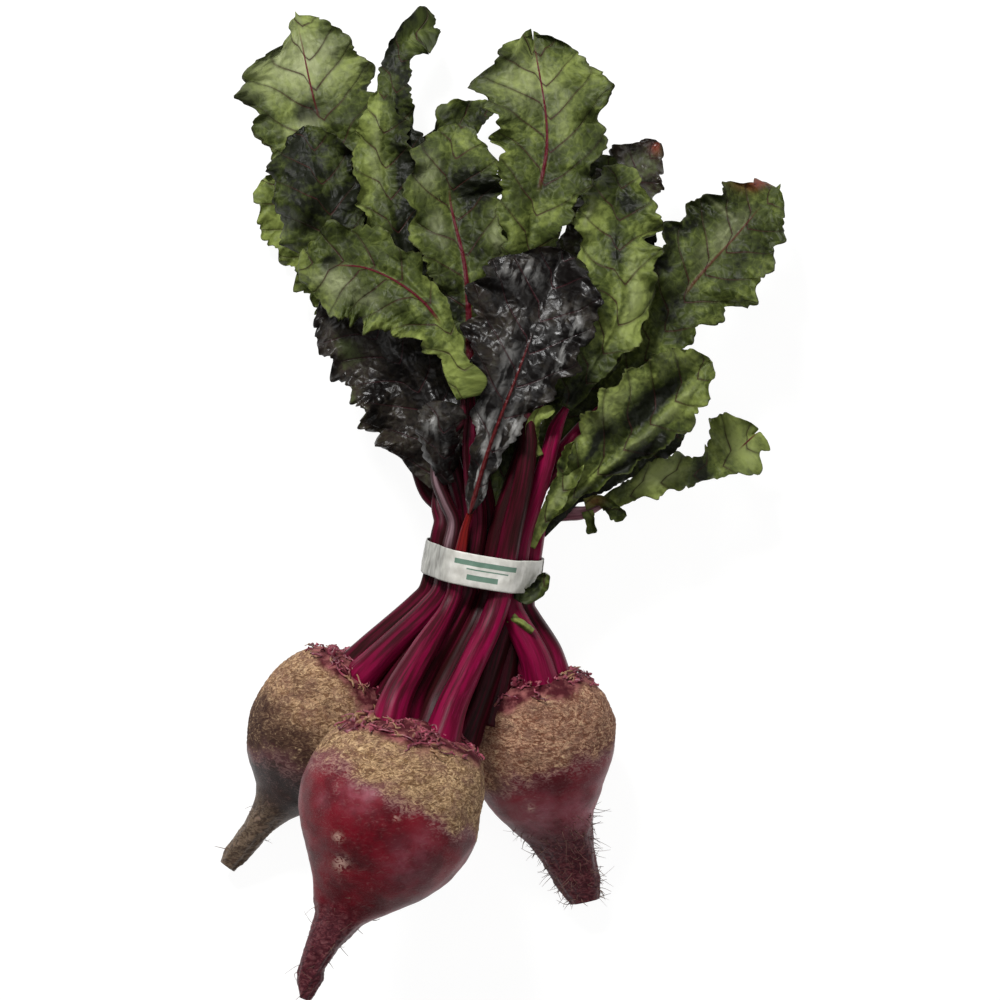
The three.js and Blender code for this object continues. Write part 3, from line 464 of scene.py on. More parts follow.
# Torn leaf bases and curled fibres on each crown, left where outer leaves were pulled away:
# magenta where fresh and tan where dried, grown out of the crown round the living stalks.
def torn_leaf_base():
    """Torn leaf bases: moist magenta flesh with paler dried fibres"""
    material, tree = new_material("torn_leaf_base")
    place = add_node(tree, "TexCoord", out="Object")
    patches = add_node(tree, "TexNoise", Vector=place, Scale=per_mm(6), Detail=4.0)
    tone = add_node(tree, "MapRange", Value=patches, From_Min=0.36, From_Max=0.64)
    colour = add_node(tree, "Mix", data_type="RGBA", Factor=tone, A="#4c0c1c", B="#9c4658")
    dried = add_node(tree, "TexNoise", Vector=place, Scale=per_mm(9), Detail=2.0)
    dried = add_node(tree, "MapRange", Value=dried, From_Min=0.54, From_Max=0.62)
    colour = add_node(tree, "Mix", data_type="RGBA", Factor=dried, A=colour, B="#8d6a4c")
    shader = add_node(tree, "BsdfPrincipled", Roughness=0.45, Base_Color=colour)
    add_node(tree, "OutputMaterial", Surface=shader)
    return material


leaf_base = torn_leaf_base()
FIBRES_PER_CROWN = 130
FLAPS_PER_CROWN = 16


def crown_fibres(name, root, skin):
    """Thin curled fibres that lie on one crown's skin, and wider torn flaps among them"""
    rough, outward, distance, way = skin
    draw = random.Random(root["seed"] + 1)
    rings = np.flatnonzero((distance > -2.6) & (distance < 6))
    parts = []
    for number in range(FIBRES_PER_CROWN + FLAPS_PER_CROWN):
        wide = number >= FIBRES_PER_CROWN
        ring = float(draw.choice(rings))
        turn = draw.uniform(0, ROOT_SIDES)
        drift = draw.uniform(0.4, 1.6) if wide else draw.uniform(-1.6, 1.6)
        spin = draw.choice((-1, 1)) * draw.uniform(0, 1.1)
        lift = draw.uniform(0.1, 0.7)
        points = []
        for step in range(5 if wide else 9):
            i = int(np.clip(ring, rings[0], rings[-1] + 5))
            k = int(turn) % ROOT_SIDES
            jog = np.array([draw.uniform(-0.3, 0.3) for _ in range(3)])
            points.append(rough[i, k] + outward[i, k] * lift - way[i] * lift + jog)
            ring += drift + draw.uniform(-1.6, 1.6)
            turn += spin + draw.uniform(-1.3, 1.3)
            lift = min(max(lift + draw.uniform(-0.5, 0.55), 0.0), 1.5)
        course = smooth_line(points)[0][::30]
        along = np.linspace(0, 1, len(course))
        radii = (0.15 + np.sin(math.pi * np.minimum(along + 0.1, 1)) ** 0.6 * 0.3) * draw.uniform(0.5, 1.2)
        radii *= 4.2 if wide else 1
        parts.append(strand(course, radii, 6, flat=0.25 if wide else 0.6))
    vertices, faces = joined(parts)
    build_piece(f"leaf_bases_{name}", vertices, faces, leaf_base)


for name, root in ROOTS.items():
    skin = root_piece(name, root)
    side_roots(name, root, skin)
    crown_fibres(name, root, skin)


# The leaves. Each is a blade of thin living tissue, green or dark purple, grown at the end of its
# own fleshy stalk. They are listed from the lowest to the topmost, as they lie on each other.

# spine runs from the blade's foot to its tip, and left and right hold its half widths at even
# stations. shade is how light the green is: partly the leaf's own tone and partly painted light
# and shade for how it lies in the light, dark in hollows and under other leaves. stalk and
# stalk_above are how bright the stalk is below and above the band, painted light and shade, and
# slim is how thick it gets there, as a share of the usual. rib is where along the blade the midrib
# is red, and how red. The patches of tone, pale, rust and rise are soft patches: where along and
# across the blade, how far each way, and by how much lighter, paler, browner or higher (mm). The
# tone patches are mostly painted light and shade, lit folds and dark hollows and shadows, with a
# few changes of the leaf's own colour. The pale patches are the pale underside, and painted sheen
# and glints. trims move the margin: which side, where along, how far, and by how many mm. On side
# 0 they move the tip: where across, how far, and by how many mm.
LEAVES = [
    dict(name="leaf_01", spine=[(19, 36, 28), (36, 64, 20), (52, 90, 10), (70, 118, 0.5)],
         left=[9, 16, 19, 17, 14], right=[9, 15, 18, 17, 13], shade=0.3, stalk=0.05),
    dict(name="leaf_02", spine=[(4, 46, 28), (10, 80, 18), (14, 112, 8), (18, 142, 0.5)],
         left=[9, 14, 17, 16, 13], right=[9, 14, 17, 16, 13], shade=0.3, stalk=0.05),
    dict(name="leaf_03", spine=[(-22, 60, 25), (-44, 94, 13), (-64, 124, 5), (-82, 145, 0.5)],
         left=[9, 15, 16, 17, 16], right=[9, 15, 18, 18, 15], shade=0.8, stalk=0.35,
         tones_and_shades=[(0.75, 0.7, 0.2, 0.4, -0.6)], rises=[(0.85, -0.5, 0.1, 0.4, 1.5)]),
    dict(name="leaf_04", spine=[(3, 52, 38), (-2, 90, 32), (-8, 122, 26), (-12, 148, 19),
                                (-8, 165, 14), (5, 172, 11)],
         left=[9, 13, 14, 13, 10], right=[9, 13, 13, 11, 9], shade=0.1, stalk=0.1,
         tones_and_shades=[(0.95, -1.0, 0.1, 0.2, 0.4)]),
    dict(name="leaf_05", spine=[(-21, 72, 40), (-44, 126, 36), (-60, 164, 27), (-70, 206, 13)],
         left=[8, 15, 23, 27, 23], right=[8, 14, 22, 26, 24], shade=0.66, stalk=0.1, rib=(0.74, 0.92),
         tones_and_shades=[(0.4, 0, 0.18, 1.5, -0.7), (0.73, -0.15, 0.025, 0.18, -1.5), (0.69, 0.5, 0.05, 0.4, -0.5),
                (0.74, -0.9, 0.07, 0.25, -0.45)],
         pales_and_sheens=[(0.87, -0.1, 0.09, 0.75, 0.95), (0.70, -0.3, 0.02, 0.3, 0.5)],
         rises=[(0.4, 0, 0.2, 1.5, -2.5), (0.73, -0.1, 0.025, 0.5, -2.2), (0.69, 0, 0.03, 1.0, 1.8),
                (0.84, 0.5, 0.1, 0.3, 1.5)],
         trims=[(-1, 0.94, 0.045, -9), (-1, 0.85, 0.03, 3.5), (0, 0.1, 0.2, 2)]),
    dict(name="leaf_06", spine=[(-34, 72, 42), (-49, 104, 40), (-59, 134, 33), (-66, 164, 24)],
         left=[9, 15, 19, 19, 16], right=[9, 14, 17, 18, 16], shade=0.04, stalk=0.7, stalk_above=0.15,
         tones_and_shades=[(0.5, -0.95, 0.4, 0.3, 0.5), (0.98, 0.3, 0.03, 0.8, 0.4), (0.25, 0, 0.12, 1.2, 0.35)],
         rises=[(0.7, 0.15, 0.4, 0.9, 3.2), (0.8, -0.95, 0.2, 0.2, 1.5)]),
    dict(name="leaf_07", spine=[(44, 22, 43), (66, 32, 41), (87, 37, 32), (104, 50, 19)],
         left=[5, 9, 6, 17, 14], right=[5, 7, 5, 8, 10], shade=0.8, stalk=0.7, slim=0.7, rib=(0.86, 0.97),
         tones_and_shades=[(0.57, 0, 0.04, 1.2, -0.9), (0.2, -0.9, 0.15, 0.3, -0.5)],
         pales_and_sheens=[(0.35, -0.2, 0.15, 0.6, 0.5), (0.85, 0.1, 0.1, 0.6, 0.35)],
         trims=[(-1, 0.9, 0.06, 3), (1, 0.82, 0.07, 5), (0, -0.2, 0.2, -3), (1, 0.98, 0.04, 4)]),
    dict(name="leaf_08", spine=[(-12, 66, 48), (-24, 124, 41), (-33, 166, 31), (-32, 187, 23),
                                (-26, 198, 19), (-16, 202, 16)],
         left=[7, 11, 10, 7, 7], right=[7, 12, 11, 7, 7], shade=0.12, stalk=0.1,
         tones_and_shades=[(0.93, 0, 0.07, 0.7, 0.45)],
         trims=[(-1, 0.97, 0.035, 6), (1, 0.95, 0.045, 6), (0, 0, 0.4, -2)]),
    dict(name="leaf_09", spine=[(-17, 62, 47), (-30, 112, 42), (-37, 146, 36), (-38, 176, 28)],
         left=[7, 10, 12, 12, 9], right=[8, 12, 15, 14, 11], shade=0.64, stalk=0.15,
         tones_and_shades=[(0.68, 0.75, 0.25, 0.4, -0.75), (0.42, 0, 0.14, 1.2, -1.0)],
         pales_and_sheens=[(0.8, -0.2, 0.13, 0.2, 0.4)], rises=[(0.75, -0.1, 0.2, 0.25, 2)]),
    dict(name="leaf_10", spine=[(44, 58, 48), (60, 78, 46), (78, 104, 44), (95, 123, 35), (110, 141, 22)],
         left=[8, 15, 24, 22, 16], right=[8, 15, 23, 19, 12], shade=0.5, stalk=0.3, stalk_above=0.85,
         rib=(0.5, 0.86, 0.6),
         tones_and_shades=[(0.58, -0.8, 0.15, 0.25, -0.55), (0.4, 0.1, 0.15, 0.5, -0.35)],
         pales_and_sheens=[(0.72, -0.14, 0.12, 0.17, 0.6), (0.79, -0.55, 0.008, 0.3, 0.9)],
         rusts=[(0.96, -0.8, 0.05, 0.3, 1.0)],
         rises=[(0.8, -0.6, 0.02, 0.3, 1.5), (0.6, -0.75, 0.12, 0.2, -2), (0.7, 0.5, 0.2, 0.3, 1.5)],
         trims=[(0, 0.25, 0.2, 2.5), (-1, 0.84, 0.03, -3)]),
    dict(name="leaf_11", spine=[(-16.5, 28, 47.5), (-19, 50, 49), (-29, 70, 46), (-44, 86, 37),
                                (-60, 100, 26)],
         left=[21, 25, 22, 19, 15], right=[15, 20, 19, 17, 14], purple=True, shade=0.12, stalk=0.15,
         tones_and_shades=[(0.78, -0.5, 0.14, 0.3, 0.7), (0.45, -0.95, 0.15, 0.12, 0.6)],
         pales_and_sheens=[(0.25, 0.3, 0.06, 0.4, 0.35)]),
    dict(name="leaf_12", spine=[(25, 19, 48), (41, 34, 54), (60, 52, 55), (85, 76, 45)],
         left=[10, 19, 21, 18, 13], right=[5, 10, 13, 12, 10], shade=0.72, stalk=0.3, stalk_above=0.8,
         tones_and_shades=[(0.68, -0.2, 0.15, 0.2, -1.4), (0.42, 0.72, 0.22, 0.25, -1.3),
                (0.35, -0.45, 0.1, 0.12, -0.8)],
         pales_and_sheens=[(0.62, 0.25, 0.3, 0.15, 0.3), (0.5, -0.75, 0.15, 0.15, 0.3)],
         rises=[(0.66, -0.22, 0.16, 0.2, -3), (0.42, 0.75, 0.22, 0.25, -2.5), (0.55, 0.25, 0.35, 0.2, 2.2),
                (0.8, -0.65, 0.15, 0.2, 1.5), (0.45, -0.75, 0.15, 0.2, 1.5)],
         trims=[(-1, 0.92, 0.04, 4), (1, 0.75, 0.04, 2)]),
    dict(name="leaf_13", spine=[(22, 64, 53), (33, 98, 47), (43, 122, 43), (54, 142, 34), (66, 158, 22)],
         left=[8, 13, 15, 14, 12], right=[8, 12, 14, 14, 12], purple=True, shade=0.6, stalk=0.1,
         pales_and_sheens=[(0.92, -0.3, 0.06, 0.5, 0.35)], rusts=[(0.98, 0.1, 0.03, 0.4, 0.8)]),
    dict(name="leaf_14", spine=[(-4, 64, 55), (-6, 108, 53), (-12, 138, 48), (-9, 164, 38)],
         left=[8, 14, 18, 18, 15], right=[8, 17, 23, 22, 18], shade=0.38, stalk=0.3, rib=(0.05, 0.7),
         tones_and_shades=[(0.74, 0.45, 0.07, 0.4, -0.6), (0.9, 0.4, 0.05, 0.5, 0.25), (0.25, -0.5, 0.1, 0.4, -0.3)],
         pales_and_sheens=[(0.79, -0.5, 0.06, 0.25, 0.55), (0.60, -0.4, 0.06, 0.2, 0.5), (0.53, 0.78, 0.08, 0.15, 0.65)],
         rises=[(0.82, 0.4, 0.08, 0.45, 4), (0.7, 0.4, 0.05, 0.5, -2)]),
    dict(name="leaf_15", spine=[(31, 58, 60), (42, 76, 61), (51, 96, 60), (49, 118, 55), (51, 149, 41)],
         left=[8, 13, 16, 16, 13], right=[7, 13, 17, 18, 14], shade=0.6, stalk=1.0, slim=0.9,
         tones_and_shades=[(0.82, 0.3, 0.05, 0.3, -0.8), (0.47, 0.45, 0.15, 0.25, 0.25), (0.08, 0, 0.14, 1.5, -0.8),
                (0.65, 0, 0.1, 0.12, -0.5)],
         pales_and_sheens=[(0.45, 0.4, 0.12, 0.2, 0.4), (0.78, -0.7, 0.05, 0.06, 0.8)],
         rises=[(0.45, 0, 0.3, 0.12, 1.5), (0.82, 0.3, 0.05, 0.3, -2)],
         trims=[(1, 0.68, 0.025, -3), (1, 0.78, 0.025, 3), (1, 0.9, 0.03, -2)]),
    dict(name="leaf_16", spine=[(13, 92, 58), (18, 125, 57), (24, 156, 49), (19, 197, 31)],
         left=[9, 16, 22, 26, 25], right=[9, 17, 24, 26, 23], shade=0.48, stalk=0.65, stalk_above=0.1,
         rib=(0.46, 0.93),
         tones_and_shades=[(0.85, -0.1, 0.12, 0.6, 0.3), (0.5, -0.5, 0.12, 0.3, -0.25), (0.62, 0.75, 0.05, 0.2, -0.4)],
         pales_and_sheens=[(0.83, -0.25, 0.1, 0.5, 0.5), (0.7, 0.25, 0.1, 0.15, 0.3)],
         rises=[(0.7, 0.6, 0.08, 0.25, 2), (0.62, 0.75, 0.04, 0.2, -2), (0.82, -0.5, 0.1, 0.3, 1.5)],
         trims=[(0, -0.12, 0.07, -5), (0, -0.4, 0.14, 3), (0, 0.25, 0.15, 2), (1, 0.86, 0.03, -5),
                (1, 0.79, 0.03, 3), (-1, 0.72, 0.04, -5), (-1, 0.85, 0.04, 3)]),
    dict(name="leaf_17", spine=[(-4.5, 19, 62), (3, 44, 66), (13, 70, 68), (21, 92, 65), (30, 116, 56)],
         left=[6, 13, 25, 30, 24], right=[6, 12, 21, 25, 20], purple=True, shade=0.08, stalk=0.5,
         slim=0.66, rib=(0, 0.62),
         pales_and_sheens=[(0.87, -0.5, 0.05, 0.35, 0.6), (0.55, -0.25, 0.12, 0.13, 0.45), (0.75, 0.57, 0.06, 0.25, 0.5),
                (0.2, -0.45, 0.16, 0.35, 1.2), (0.22, 0.6, 0.2, 0.3, 1.1), (0.6, 0.68, 0.1, 0.08, 0.8)],
         rises=[(0.85, 0.25, 0.06, 0.4, -2), (0.55, -0.35, 0.12, 0.2, 2), (0.75, 0.57, 0.08, 0.25, 1.5)],
         tones_and_shades=[(0.45, 0.1, 0.2, 0.5, -0.15)], trims=[(-1, 0, 0.04, -1.4), (1, 0, 0.04, -1.4)]),
    dict(name="leaf_18", spine=[(-7, 61, 71), (-11, 80, 74), (-21, 96, 72), (-42, 109, 62), (-68, 110, 48)],
         left=[8, 18, 23, 23, 19], right=[5, 8, 14, 19, 17], shade=0.6, stalk=0.45, stalk_above=0.0,
         slim=0.66, rib=(0.34, 0.8), trims=[(1, 0.05, 0.07, 7)],
         tones_and_shades=[(0.86, 0.05, 0.025, 0.12, -1.5), (0.72, 0.6, 0.2, 0.35, -0.22),
                (0.35, -0.85, 0.25, 0.2, 0.35), (0.12, 0, 0.12, 1.0, 0.3)],
         pales_and_sheens=[(0.84, -0.35, 0.1, 0.28, 0.8), (0.62, -0.5, 0.1, 0.15, 0.3)],
         rises=[(0.86, 0.05, 0.03, 0.15, -2), (0.6, 0.3, 0.25, 0.15, 1.5), (0.5, -0.55, 0.2, 0.15, -1.5)]),
]


# The blades: thin leaf tissue, puckered between its veins and frilled at its toothed margin, on a
# crimson midrib with side veins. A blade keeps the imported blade's lie and gets its fine surface.
def leaf_blade(name, dullest, gloss, solid_pale, hexes):
    """Leaf tissue: waxy and softly shiny, mottled, with veins in the beet's own crimson. hexes
    are the deep, middle and light tone, the pale patches, the side veins, the margin and the rib.
    The tone is partly painted light and shade, and the pale patches are the pale underside and
    painted sheen. dullest is the roughness of the dullest patches, and gloss the specular level.
    Pale patches are solid, or break up into painted glints."""
    deep, middle, light, underside_and_sheen, vein_colour, edge_colour, rib_colour = hexes
    material, tree = new_material(name)
    flat = add_node(tree, "Attribute", out="Vector", attribute_name="on_leaf")
    shade, pale, rust, course, reach, from_rib, red = (
        add_node(tree, "Attribute", out="Fac", attribute_name=key)
        for key in ("shade", "pale", "rust", "vein", "reach", "rib", "red"))

    # on_leaf counts millimetres on the leaf, so a scale of 1 / 13 is a pattern of 13 mm
    patches = add_node(tree, "TexNoise", Vector=flat, Scale=1 / 13, Detail=6.0)
    fine = add_node(tree, "TexNoise", Vector=flat, Scale=1 / 2.2, Detail=4.0)
    net = add_node(tree, "TexVoronoi", feature="DISTANCE_TO_EDGE", Vector=flat, Scale=1 / 3.6)
    patchy = add_node(tree, "MapRange", interpolation_type="SMOOTHSTEP", Value=patches,
                      From_Min=0.3, From_Max=0.7, To_Min=-0.26, To_Max=0.26)
    speckled = add_node(tree, "MapRange", Value=fine, From_Min=0.3, From_Max=0.7, To_Min=-0.17, To_Max=0.17)
    tone = add_node(tree, "Math", operation="ADD", in_0=shade, in_1=patchy)
    tone = add_node(tree, "Math", operation="ADD", in_0=tone, in_1=speckled)
    low_tone = add_node(tree, "MapRange", Value=tone, From_Min=0.0, From_Max=0.5)
    high_tone = add_node(tree, "MapRange", Value=tone, From_Min=0.5, From_Max=1.0)
    colour = add_node(tree, "Mix", data_type="RGBA", Factor=low_tone, A=deep, B=middle)
    colour = add_node(tree, "Mix", data_type="RGBA", Factor=high_tone, A=colour, B=light)
    net_line = add_node(tree, "MapRange", Value=net, From_Min=0.0, From_Max=0.08, To_Min=0.15, To_Max=0.0)
    net_line = add_node(tree, "Math", operation="MULTIPLY", in_0=net_line, in_1=low_tone)
    colour = add_node(tree, "Mix", data_type="RGBA", Factor=net_line, A=colour, B=light)
    # Painted sheen: the pale patches, broken up by drawn-out noise, stand for glints and for the pale
    # underside.
    drawn_out = add_node(tree, "Mapping", Vector=flat, Scale=(0.4, 1, 1))
    glint = add_node(tree, "TexNoise", Vector=drawn_out, Scale=1 / 3, Detail=4.0, Distortion=0.3)
    broken = add_node(tree, "MapRange", Value=glint, From_Min=0.46, From_Max=0.62,
                      To_Min=solid_pale, To_Max=1.0)
    pale_and_sheen_amount = add_node(tree, "Math", operation="MULTIPLY", in_0=pale, in_1=broken)
    colour = add_node(tree, "Mix", data_type="RGBA", Factor=pale_and_sheen_amount, A=colour, B=underside_and_sheen)
    colour = add_node(tree, "Mix", data_type="RGBA", Factor=rust, A=colour, B="#6e2a18")

    turn = add_node(tree, "Math", operation="FRACT", in_0=course)
    turn = add_node(tree, "Math", operation="SUBTRACT", in_0=turn, in_1=0.5)
    turn = add_node(tree, "Math", operation="ABSOLUTE", in_0=turn)
    line = add_node(tree, "MapRange", interpolation_type="SMOOTHSTEP", Value=turn,
                    From_Min=0.46, From_Max=0.488)
    # Painted shade: the tissue darkens towards each side vein, for the shade in the crease along it.
    vein_crease_shade = add_node(tree, "MapRange", interpolation_type="SMOOTHSTEP", Value=turn,
                      From_Min=0.36, From_Max=0.5, To_Max=0.4)
    colour = add_node(tree, "Mix", data_type="RGBA", Factor=vein_crease_shade, A=colour, B=deep)
    fading = add_node(tree, "MapRange", Value=reach, From_Min=0.15, From_Max=0.8, To_Min=0.8, To_Max=0.15)
    strength = add_node(tree, "Math", operation="MULTIPLY", in_0=line, in_1=fading)
    colour = add_node(tree, "Mix", data_type="RGBA", Factor=strength, A=colour, B=vein_colour)
    at_edge = add_node(tree, "MapRange", Value=reach, From_Min=0.955, From_Max=1.0, To_Max=0.6)
    colour = add_node(tree, "Mix", data_type="RGBA", Factor=at_edge, A=colour, B=edge_colour)
    rib = add_node(tree, "MapRange", interpolation_type="SMOOTHSTEP", Value=from_rib,
                   From_Min=0.6, From_Max=1.15, To_Min=1.0, To_Max=0.0)
    rib = add_node(tree, "Math", operation="MULTIPLY", in_0=rib, in_1=red)
    colour = add_node(tree, "Mix", data_type="RGBA", Factor=rib, A=colour, B=rib_colour)

    cells = add_node(tree, "MapRange", interpolation_type="SMOOTHSTEP", Value=net, From_Max=0.35, To_Max=0.7)
    height = add_node(tree, "Math", operation="MULTIPLY_ADD", in_0=fine, in_1=0.8, in_2=cells)
    height = add_node(tree, "Math", operation="MULTIPLY_ADD", in_0=line, in_1=-0.5, in_2=height)
    relief = add_node(tree, "Bump", Strength=0.6, Distance=0.6 * MM, Height=height)
    roughness = add_node(tree, "MapRange", Value=patches, From_Min=0.3, From_Max=0.7,
                         To_Min=dullest - 0.14, To_Max=dullest)
    shader = add_node(tree, "BsdfPrincipled", IOR=1.45, Specular_IOR_Level=gloss, Base_Color=colour,
                      Roughness=roughness, Normal=relief)
    add_node(tree, "OutputMaterial", Surface=shader)
    return material


# The fourth colour of each is the pale underside and the painted sheen of glints.
green_leaf = leaf_blade("beet_leaf_green", 0.6, 0.18, 0.55, [
    "#12150a", "#3b441c", "#788342", "#949a72", "#351a17", "#2a2616", "#4c0c18"])
purple_leaf = leaf_blade("beet_leaf_purple", 0.44, 0.32, 0.0, [
    "#0f0c0b", "#2e2721", "#4c5434", "#949390", "#33161a", "#14100f", "#4e0f12"])

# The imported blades' rows and columns, and the finer ones that are drawn
ROW_LENGTH = 7.6
COLUMNS = np.array([-1, -0.55, -0.16, 0, 0.16, 0.55, 1])
FINE_ROW = 0.85
FINE_COLUMNS = 26
# A blade's half widths at foot and tip, its lobes, and how thick its tissue is
FOOT_WIDTH = 2.7
TIP_WIDTH = 1.2
TIP_ROUNDS_FROM = 0.76
LOBE_DEPTH = 0.085
TISSUE = 0.5
# How far apart the veins and the waves of the margin and of the surface are
VEIN_SPACING = 13
LOBE_SPACING = 10.5
TOOTH_SPACING = 4.0
FRILL_SPACING = 16
SMALL_FRILL_SPACING = 6.3
WRINKLE_SPACING = 3.7
# A margin keeps its full teeth and frills where the blade is this wide on each side
ROOM_FOR_TEETH = 10
PALE_UNDERSIDE = 0.7


def half_width(side, u, rows):
    """A blade's half width at shares u of its length, with its lobes and its rounded tip"""
    stations = [FOOT_WIDTH] + side
    width = np.interp(u, np.linspace(0, 1, len(stations)), stations)
    lobe = 1 - LOBE_DEPTH * (1 + np.cos(math.pi * u * rows))
    blunt = np.sqrt(1 - np.maximum(0, (u - TIP_ROUNDS_FROM) / (1 - TIP_ROUNDS_FROM)) ** 2)
    return np.maximum(width * lobe * blunt, TIP_WIDTH)


def blade_plan(leaf, line, u, v, rows):
    """Places on the blade's plan, with how far each is across the midrib"""
    middles, way = read_line(line, u * line[1][-1])
    right = level_right(way)
    left_width = half_width(leaf["left"], u, rows)[:, None]
    right_width = half_width(leaf["right"], u, rows)[:, None]
    across = np.where(v < 0, left_width, right_width) * v
    return middles[:, None] + right[:, None] * across[..., None], across, right


def cubic(knots, values, x):
    """A smooth line through the values at the knots, read at each x"""
    slopes = np.gradient(values, knots, axis=0)
    k = np.clip(np.searchsorted(knots, x, side="right") - 1, 0, len(knots) - 2)
    h = (knots[k + 1] - knots[k])[:, None]
    t = (x - knots[k])[:, None] / h
    start, end = values[k], values[k + 1]
    bend = (1 - t) ** 2 * t * h * slopes[k] - t ** 2 * (1 - t) * h * slopes[k + 1]
    return start * (1 + 2 * t) * (1 - t) ** 2 + end * t ** 2 * (3 - 2 * t) + bend


def cad_points(node):
    """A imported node's own corners, in the millimetres that the sizes here are in"""
    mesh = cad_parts[node].data
    found = np.empty(len(mesh.vertices) * 3)
    mesh.vertices.foreach_get("co", found)
    return (found.reshape(-1, 3) - origin) / MM


def packed_heights(node, plan):
    """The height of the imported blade's top at each corner of its grid"""
    corners = cad_points(node)
    tree = KDTree(len(corners))
    for index, (x, y, z) in enumerate(corners):
        tree.insert((x, y, 0), index)
    tree.balance()
    heights = np.empty(plan.shape[:2])
    for i, j in np.ndindex(heights.shape):
        spot = (plan[i, j, 0], plan[i, j, 1], 0)
        near = tree.find_range(spot, 0.25) or [tree.find(spot)]
        heights[i, j] = max(corners[index, 2] for _, index, _ in near)
    return heights


def toothed(s, seed):
    """How far the margin stands out at distances s along it: lobes with small blunt teeth"""
    spot = np.stack([s, 0 * s, 0 * s], -1)
    drift = noise_field(spot, 11, seed)
    lobes = np.sin(s * 2 * math.pi / LOBE_SPACING + 3 * drift)
    turn = (s / TOOTH_SPACING + 1.2 * noise_field(spot, 6, seed + 1)) % 1
    teeth = 1 - np.abs(2 * turn - 1) ** 2.2
    big = 1.8 * noise_field(spot, 13, seed + 3)
    return big + 0.8 * lobes + 2.1 * teeth * (0.6 + 0.8 * noise_field(spot, 5, seed + 2)) - 1.2


def patched(patches, u, v):
    """The sum of soft patches, each with its place, its reach along and across, and its amount"""
    total = np.zeros(np.broadcast_shapes(u.shape, v.shape))
    for at_u, at_v, along, wide, amount in patches:
        total += amount * np.exp(-((u - at_u) / along) ** 2 - ((v - at_v) / wide) ** 2)
    return total


def sheet_body(top, under):
    """Vertices and faces of a thin closed body between two grids of points, one over the other"""
    rows, columns = top.shape[:2]
    count = rows * columns
    rim = np.concatenate([
        np.arange(columns - 1),
        np.arange(rows - 1) * columns + columns - 1,
        (rows - 1) * columns + np.arange(columns - 1, 0, -1),
        np.arange(rows - 1, 0, -1) * columns,
    ])
    following = np.roll(rim, -1)
    edge = np.stack([rim, rim + count, following + count, following], -1)
    faces = [grid_faces(rows, columns), grid_faces(rows, columns, flip=True) + count, edge]
    return np.vstack([top.reshape(-1, 3), under.reshape(-1, 3)]), faces


def blade_piece(leaf, number):
    """One blade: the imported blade's surface, drawn fine"""
    node = leaf["name"] + "_blade"
    line = smooth_line(leaf["spine"])
    rows = int(line[1][-1] / ROW_LENGTH / 2 + 0.5) * 2 + 1
    coarse_u = np.linspace(0, 1, rows + 1)
    heights = packed_heights(node, blade_plan(leaf, line, coarse_u, COLUMNS, rows)[0])
    u = np.linspace(0, 1, int(line[1][-1] / FINE_ROW))
    t = np.linspace(-1, 1, 2 * FINE_COLUMNS + 1)
    v = np.sign(t) * np.abs(t) ** 1.25
    top, across, right = blade_plan(leaf, line, u, v, rows)
    across_heights = cubic(COLUMNS, heights.T, v).T
    top[..., 2] = cubic(np.arange(rows + 1.0), across_heights, u * rows)
    leaf["top_line"] = top[:, FINE_COLUMNS]
    leaf_tissue(leaf, number, line, u, v, top, across, right, [node])


